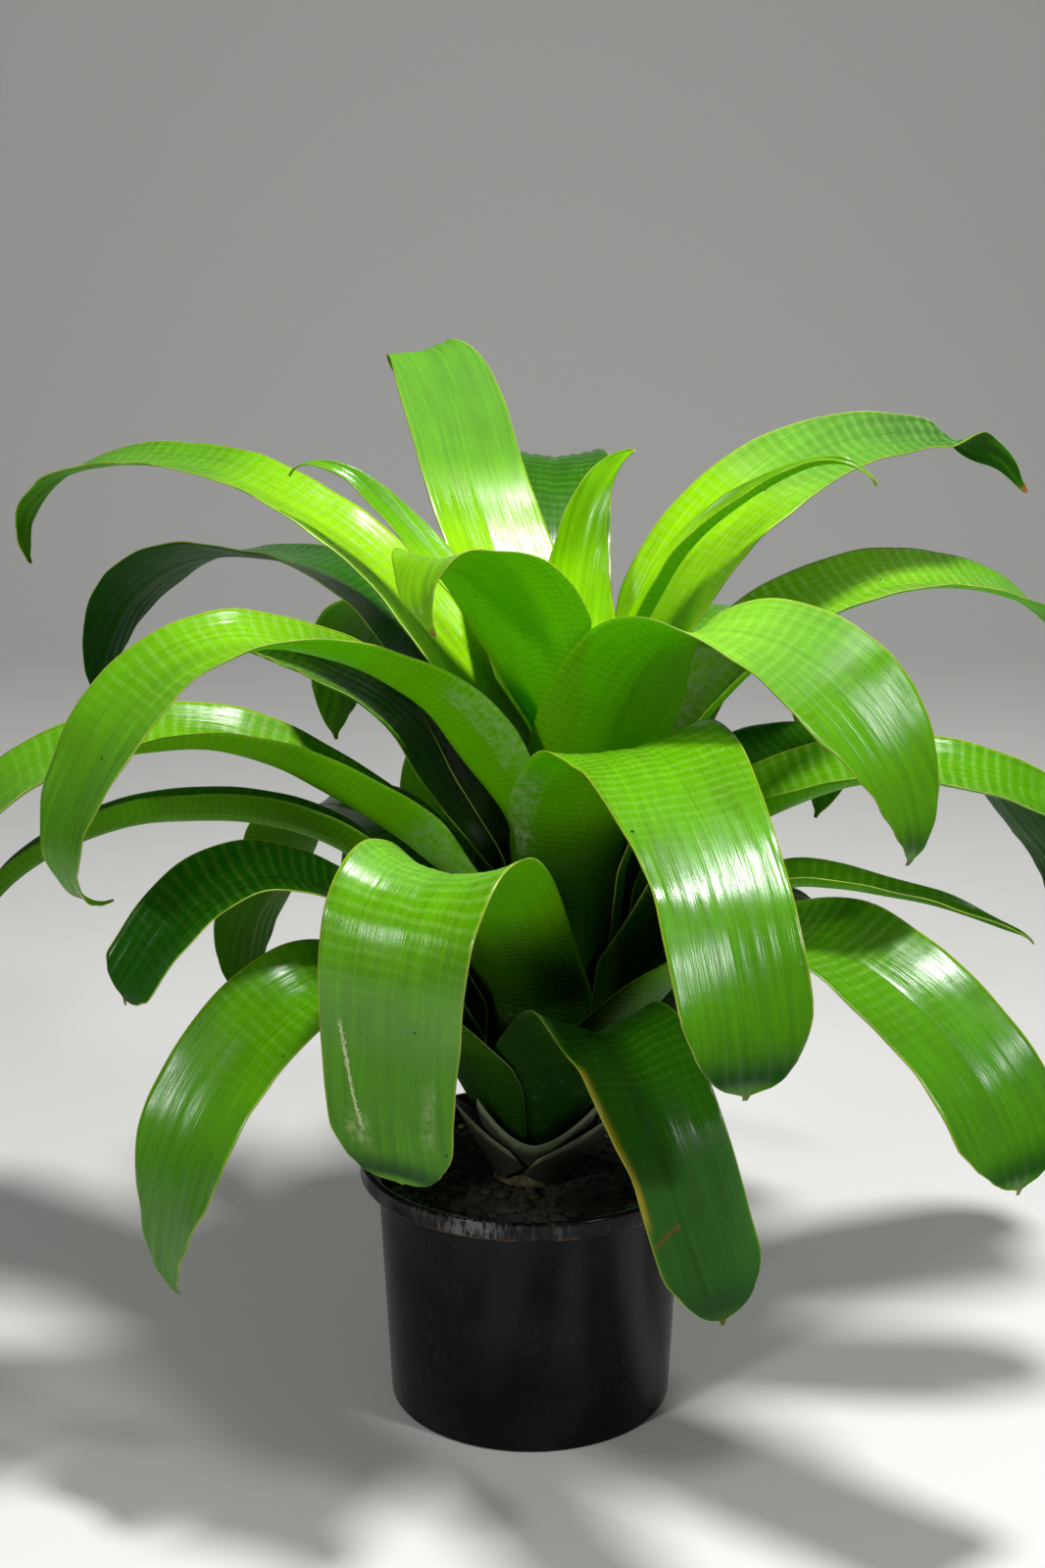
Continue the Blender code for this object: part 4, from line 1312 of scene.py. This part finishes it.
def old_base_sheet(azimuth, after, middle_cut, margin_cut, width):
    """A crescent of sheath. Its upper edge runs from margin to margin by way of the middle cut."""
    radius, foot, _ = root_of(LAST_RANK + after)
    s = np.linspace(0, 1, HUSK_ROWS)[:, None]
    v = np.linspace(-1, 1, COLUMNS)[None, :]
    height = s * (middle_cut + (margin_cut - middle_cut) * np.abs(v) ** CUT_CURVE)
    reach = radius + FLARE_SLOPE * height
    half = 0.5 * width * (ROOT_SHARE + (1 - ROOT_SHARE) * smooth_step(s / 0.5))
    half = np.minimum(half, WIDEST_WRAP * (radius + FLARE_SLOPE * middle_cut * s))
    turn = math.radians(azimuth) + v * half / reach
    z = foot + height
    longest = float(height.max())
    return {
        "grid": np.stack([reach * np.cos(turn) + axis_shift(z), reach * np.sin(turn), z], -1),
        "along": longest - (height[-1:] - height),
        "across": v * half,
        "v": v * np.ones(s.shape),
        "s": s * np.ones(v.shape),
        "crest": longest,
        "total": longest,
        "throat": longest,
    }


def make_old_base():
    made, tree, shader = new_material("old_leaf_base")
    place = attribute(tree, "place")
    to_tip = three_facts(tree, "form")[2]
    thread = use_group(tree, fine_veins, Place=place, Spacing=0.0012).outputs["Vein"]
    tone = noise_value(tree, place, 70.0, 4.0, 0.6)
    ragged = plus(tree, to_tip, times(tree, tone, 0.012))
    base = blend_colours(tree, ramp(tree, ragged, 0.009, 0.015, 1.0, 0.10), HUSK_DARK, HUSK_PALE)
    base = cover(tree, base, HUSK_DARK, ramp(tree, thread, 0.5, 0.75), 0.35)
    surface(tree, shader, base, ramp(tree, tone, 0.3, 0.7, 0.6, 0.8), thread, 0.5, 0.0006)
    return made


old_base_finish = make_old_base()
for k, (name, *shape) in enumerate(OLD_BASES):
    sheet = old_base_sheet(*shape)
    facts = leaf_facts(sheet, HUSK_LOOK, LAST_RANK + k, HUSK_SEED + k)
    husk = sheet_object(name + "_husk", sheet["grid"], facts)
    for slot in range(len(leaf_finishes)):
        husk.data.materials[slot] = old_base_finish
    keep_piece(husk, "old_leaf_base", name)
print("old bases:", len(OLD_BASES))

# %% [markdown]
# ## The pot
#
# A nursery pot is pressed from thin black plastic: a plain tapered wall with a rolled lip. It is a
# body of revolution, so a Screw modifier turns its side profile round the axis, and a small Boolean
# cutter makes each drainage hole. A stack of cylinders would need joining where they meet.

# %% Pot profile and holes
POT_HEIGHT = 0.149
BASE_RADIUS = 0.083
BODY_RADIUS = 0.0895
LIP_RADIUS = 0.100
LIP_HEIGHT = 0.0105
LIP_THICKNESS = 0.0048
WALL = 0.0015
FLOOR = 0.0025
CORNER_RADIUS = 0.0016
HOLE_RADIUS = 0.006
HOLE_CIRCLE = 0.062
HOLE_COUNT = 8
CUTTER_LOW = -0.004
CUTTER_HIGH = 0.006
CUTTER_STEPS = 32
TURN_STEPS = 160
MERGE_WITHIN = 0.00005


def turned_object(name, side, steps=TURN_STEPS):
    """A Screw modifier turns a side profile of (radius, height) points round the axis."""
    mesh = bpy.data.meshes.new(name)
    edges = [(k, k + 1) for k in range(len(side) - 1)]
    mesh.from_pydata([(radius, 0, height) for radius, height in side], edges, [])
    made = placed(name, mesh)
    turn = made.modifiers.new("turned", "SCREW")
    turn.steps = steps
    turn.render_steps = steps
    turn.use_merge_vertices = True
    turn.merge_threshold = MERGE_WITHIN
    turn.use_smooth_shade = True
    turn.use_normal_calculate = True
    return made


def rounded(side, radius, steps=4):
    """The same profile with its inner corners rounded."""
    points = [np.array(p, float) for p in side]
    found = [points[0]]
    for before, corner, after in zip(points, points[1:], points[2:]):
        back, ahead = before - corner, after - corner
        cut = min(radius, 0.45 * np.linalg.norm(back), 0.45 * np.linalg.norm(ahead))
        start = corner + cut * back / np.linalg.norm(back)
        end = corner + cut * ahead / np.linalg.norm(ahead)
        for t in np.linspace(0, 1, steps + 1):
            found.append((1 - t) ** 2 * start + 2 * t * (1 - t) * corner + t * t * end)
    found.append(points[-1])
    return [tuple(float(x) for x in p) for p in found]


lip_foot = POT_HEIGHT - LIP_HEIGHT
pot_profile = rounded(
    [
        (0, 0),
        (BASE_RADIUS, 0),
        (BODY_RADIUS, lip_foot - 0.001),
        (LIP_RADIUS, lip_foot),
        (LIP_RADIUS, POT_HEIGHT),
        (LIP_RADIUS - LIP_THICKNESS, POT_HEIGHT),
        (LIP_RADIUS - LIP_THICKNESS, lip_foot + 0.0015),
        (BODY_RADIUS - WALL, lip_foot),
        (BASE_RADIUS - WALL, FLOOR),
        (0, FLOOR),
    ],
    CORNER_RADIUS,
)
pot = turned_object("pot_body", pot_profile)
cutter_profile = [(0, CUTTER_LOW), (HOLE_RADIUS, CUTTER_LOW), (HOLE_RADIUS, CUTTER_HIGH), (0, CUTTER_HIGH)]
for k in range(HOLE_COUNT):
    angle = 2 * math.pi * (k + 0.5) / HOLE_COUNT
    cutter = turned_object(f"drain_cutter_{k + 1}", cutter_profile, CUTTER_STEPS)
    cutter.location = (HOLE_CIRCLE * math.cos(angle), HOLE_CIRCLE * math.sin(angle), 0)
    cutter.hide_render = True
    cut = pot.modifiers.new(f"drain_{k + 1}", "BOOLEAN")
    cut.operation = "DIFFERENCE"
    cut.object = cutter
keep_piece(pot, "pot", "pot")
print("pot profile points:", len(pot_profile))

# %% [markdown]
# ## Black plastic
#
# The plastic itself is nearly black. What makes it read as a used pot is dust on the lip, a grey spot on
# the front of the lip that is partly rubbed plastic and partly a painted highlight, a brown line of dirt
# under it and dull scuffs on the wall. Dust painted by hand would need an image, so noise in the pot's own
# space says where it lies.

# %% Black plastic
PLASTIC_BLACK = (0.0030, 0.0030, 0.0033)
PLASTIC_WORN = (0.0060, 0.0060, 0.0060)
PLASTIC_GLOSS = 0.12
DUST = (0.13, 0.125, 0.11)
RUBBED_GREY_AND_HIGHLIGHT = (0.30, 0.31, 0.30)
RUBBED_AND_HIGHLIGHT_PLACE = 0.032
DIRT_BROWN = (0.16, 0.075, 0.025)


def make_pot_plastic():
    made, tree, shader = new_material("black_plastic")
    place = add_node(tree, "ShaderNodeTexCoord").outputs["Object"]
    left, near, height = split_vector(tree, place)
    stretched = add_node(tree, "ShaderNodeMapping", {"Vector": place, "Scale": (1, 1, 0.35)}).outputs[0]
    wide = noise_value(tree, place, 22.0, 4.0, 0.6)
    fine = noise_value(tree, stretched, 320.0, 4.0, 0.65)
    base = blend_colours(tree, ramp(tree, wide, 0.35, 0.7), PLASTIC_BLACK, PLASTIC_WORN)

    on_lip = ramp(tree, height, lip_foot - 0.001, lip_foot + 0.002)
    dust = times(tree, ramp(tree, fine, 0.45, 0.72), ramp(tree, wide, 0.42, 0.66))
    dust = times(tree, dust, ramp(tree, on_lip, 0, 1, 0.06, 0.75))
    base = cover(tree, base, DUST, dust)
    # A pale spot on the front of the lip: partly rubbed grey plastic and partly a painted highlight.
    beside = calc(tree, "ABSOLUTE", plus(tree, left, RUBBED_AND_HIGHLIGHT_PLACE))
    in_front = times(tree, on_lip, calc(tree, "LESS_THAN", near, 0))
    spot = times(tree, ramp(tree, beside, 0.006, 0.022, 1.0, 0.0), in_front)
    base = cover(tree, base, RUBBED_GREY_AND_HIGHLIGHT, times(tree, spot, ramp(tree, fine, 0.40, 0.60)), 0.35)
    below_lip = calc(tree, "ABSOLUTE", calc(tree, "SUBTRACT", height, lip_foot - 0.0005))
    broken = ramp(tree, noise_value(tree, place, 60.0, 3.0), 0.42, 0.60)
    line = times(tree, ramp(tree, below_lip, 0.0004, 0.0022, 1.0, 0.0), broken)
    base = cover(tree, base, DIRT_BROWN, line, 0.75)

    rough = plus(tree, ramp(tree, wide, 0.3, 0.7, 0.16, 0.26), times(tree, dust, 0.4))
    surface(tree, shader, base, rough, fine, 0.12, 0.0004)
    shader.inputs["Specular IOR Level"].default_value = PLASTIC_GLOSS
    return made


pot.data.materials.append(make_pot_plastic())
print("pot finish:", pot.data.materials[0].name)

# %% [markdown]
# ## Soil
#
# The soil is a dark bark mix just under the lip, a little higher round the stem. A flat disc would
# look like paint, so its top is a grid of rings pushed up and down by noise, calm along the wall so
# that it stays under the lip. It has a plain wall and floor, since it fills the pot.

# %% Soil
SOIL_EDGE = 0.133
SOIL_GAP = 0.0006
SOIL_FLOOR_GAP = 0.0003
STEM_GAP = 0.0003
SOIL_RINGS = 44
SOIL_SPOKES = 180
SOIL_BUMP = 0.0022
SOIL_LUMPS = 90
SLOPE_REACH = 0.088
CALM_FROM = 0.080
CALM_WIDTH = 0.007


def wall_radius(z):
    """The pot's inner radius at a height, below the lip."""
    rise = (z - FLOOR) / (lip_foot - 0.002 - FLOOR)
    return BASE_RADIUS - WALL + (BODY_RADIUS - BASE_RADIUS) * rise


def soil_height(x, y):
    reach = math.hypot(x, y)
    plain = SOIL_TOP + (SOIL_EDGE - SOIL_TOP) * smooth_step(reach / SLOPE_REACH)
    near_wall = 1 - 0.8 * smooth_step((reach - CALM_FROM) / CALM_WIDTH)
    rough = noise.fractal(Vector((x * SOIL_LUMPS, y * SOIL_LUMPS, 3.0)), 0.7, 2.1, 4)
    return plain + SOIL_BUMP * near_wall * rough


def make_soil():
    """Rings of points from the stem to the wall, down it, and back under to the stem."""
    rim = wall_radius(SOIL_EDGE) - SOIL_GAP
    hole = STEM_RADIUS + STEM_GAP
    foot = wall_radius(FLOOR) - SOIL_GAP
    rings = [(hole + (rim - hole) * i / SOIL_RINGS, None) for i in range(SOIL_RINGS + 1)]
    rings += [(foot, FLOOR + SOIL_FLOOR_GAP), (hole, FLOOR + SOIL_FLOOR_GAP)]
    points, faces = [], []
    for reach, z in rings:
        for k in range(SOIL_SPOKES):
            angle = 2 * math.pi * k / SOIL_SPOKES
            x, y = reach * math.cos(angle), reach * math.sin(angle)
            points.append((x, y, soil_height(x, y) if z is None else z))
    starts = [i * SOIL_SPOKES for i in range(len(rings))] + [0]
    for a, b in zip(starts, starts[1:]):
        for k in range(SOIL_SPOKES):
            n = (k + 1) % SOIL_SPOKES
            faces.append((a + k, b + k, b + n, a + n))
    return mesh_object("soil_bed", points, faces)


soil = keep_piece(make_soil(), "soil", "soil")
print("soil top:", round(max(v.co.z for v in soil.data.vertices), 4))

# %% [markdown]
# ## Bark chips and moss
#
# Chips of bark lie loose on the mix, and small cushions of moss grow along the wall, where it stays
# damp. A particle system could scatter them, but it leaves nothing in the mesh. Here each lump is a
# ball that is worn by noise, squashed, stretched, turned and half sunk, all in one mesh. A row gives
# the number of lumps, the seed, the sizes, the flatness, the ring that they lie in and the sinking.

# %% Bark chips and moss
LUMP_WEAR = 0.30
LUMPS = {
    "bark_chips": (420, 4, (0.0014, 0.0042), 0.45, (0.026, 0.082), 0.35),
    "moss_tufts": (520, 9, (0.0007, 0.0020), 0.8, (0.070, 0.0845), 0.2),
}


def scattered_lumps(name, count, seed, sizes, flatness, reach_range, sink):
    """Many small lumps in one mesh, each a worn ball squashed flat, lying on the soil."""
    rng = np.random.default_rng(seed)
    whole = bmesh.new()
    for _ in range(count):
        reach = math.sqrt(rng.uniform(reach_range[0] ** 2, reach_range[1] ** 2))
        angle = rng.uniform(0, 2 * math.pi)
        size = rng.uniform(*sizes)
        x, y = reach * math.cos(angle), reach * math.sin(angle)
        made = bmesh.ops.create_icosphere(whole, subdivisions=2, radius=1.0)["verts"]
        turn = rng.uniform(0, 2 * math.pi)
        stretch = rng.uniform(0.8, 1.7)
        tilt = rng.uniform(-0.4, 0.4)
        high = soil_height(x, y) + size * flatness * (1 - 2 * sink)
        for vertex in made:
            spot = vertex.co.copy()
            spot *= 1 + LUMP_WEAR * noise.noise(spot * 1.7 + Vector((x * 900, y * 900, seed)))
            spot = Vector((spot.x * stretch, spot.y, (spot.z + tilt * spot.x) * flatness)) * size
            right = spot.x * math.cos(turn) - spot.y * math.sin(turn)
            back = spot.x * math.sin(turn) + spot.y * math.cos(turn)
            vertex.co = (x + right, y + back, high + spot.z)
    mesh = bpy.data.meshes.new(name)
    whole.to_mesh(mesh)
    whole.free()
    mesh.shade_smooth()
    return placed(name, mesh)


chips, moss = (keep_piece(scattered_lumps(name, *row), "soil") for name, row in LUMPS.items())
print("chips and moss:", len(chips.data.polygons), len(moss.data.polygons), "faces")

# %% [markdown]
# ## Soil, bark, moss and stem materials
#
# Damp soil, bark and an old stem look alike up close: two tones of brown in patches, a fine grain,
# and a green film where algae grow. So one recipe with other colours and sizes serves all three, and
# only the moss has its own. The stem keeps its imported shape, because the sheaths hide nearly all of
# it. A row gives the dark tone, the light tone, the scale of the patches and the bump's strength.

# %% Soil materials
FILM_GREEN = (0.055, 0.085, 0.012)
MOSS_DARK = (0.020, 0.045, 0.006)
MOSS_LIGHT = (0.130, 0.190, 0.020)
EARTHS = {
    "damp_soil": ((0.004, 0.003, 0.002), (0.016, 0.011, 0.007), 240.0, 0.9),
    "bark": ((0.007, 0.005, 0.003), (0.028, 0.017, 0.010), 180.0, 0.5),
    "old_stem": ((0.050, 0.036, 0.018), (0.150, 0.110, 0.055), 160.0, 0.6),
}


def make_earth(name, dark, light, scale, strength):
    made, tree, shader = new_material(name)
    place = add_node(tree, "ShaderNodeTexCoord").outputs["Object"]
    tone = noise_value(tree, place, scale, 5.0, 0.65)
    fine = noise_value(tree, place, scale * 9, 3.0, 0.6)
    base = blend_colours(tree, ramp(tree, tone, 0.38, 0.64), dark, light)
    damp = ramp(tree, noise_value(tree, place, 55.0, 3.0), 0.52, 0.66)
    base = cover(tree, base, FILM_GREEN, times(tree, damp, ramp(tree, fine, 0.45, 0.65)), 0.7)
    height = plus(tree, tone, times(tree, fine, 0.4))
    surface(tree, shader, base, ramp(tree, fine, 0.3, 0.7, 0.75, 0.95), height, strength, 0.0015)
    return made


def make_moss():
    made, tree, shader = new_material("moss_green")
    place = add_node(tree, "ShaderNodeTexCoord").outputs["Object"]
    tone = noise_value(tree, place, 150.0, 3.0)
    fine = noise_value(tree, place, 2500.0, 3.0)
    base = blend_colours(tree, ramp(tree, tone, 0.36, 0.62), MOSS_DARK, MOSS_LIGHT)
    surface(tree, shader, base, ramp(tree, tone, 0.3, 0.7, 0.85, 0.95), fine, 0.8, 0.0006)
    return made


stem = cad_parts["stem"]
stem.data.materials.clear()
for piece, (name, row) in zip((soil, chips, stem), EARTHS.items()):
    piece.data.materials.append(make_earth(name, *row))
moss.data.materials.append(make_moss())
print("earth finishes:", [piece.data.materials[0].name for piece in (soil, chips, stem, moss)])

# %% [markdown]
# ## Measure
#
# The dressed plant's box is measured, and how far its corners lie from the imported model's box is printed
# in mm. The dressed plant has to keep to the imported model's box.

# %% Sizes and finish
visual_box = [list(corner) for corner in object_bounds()]
for label, packed, shown in zip(("low", "high"), cad_box, visual_box):
    print(label, [round((b - a) / MM, 1) for a, b in zip(packed, shown)], "mm from the packed box")
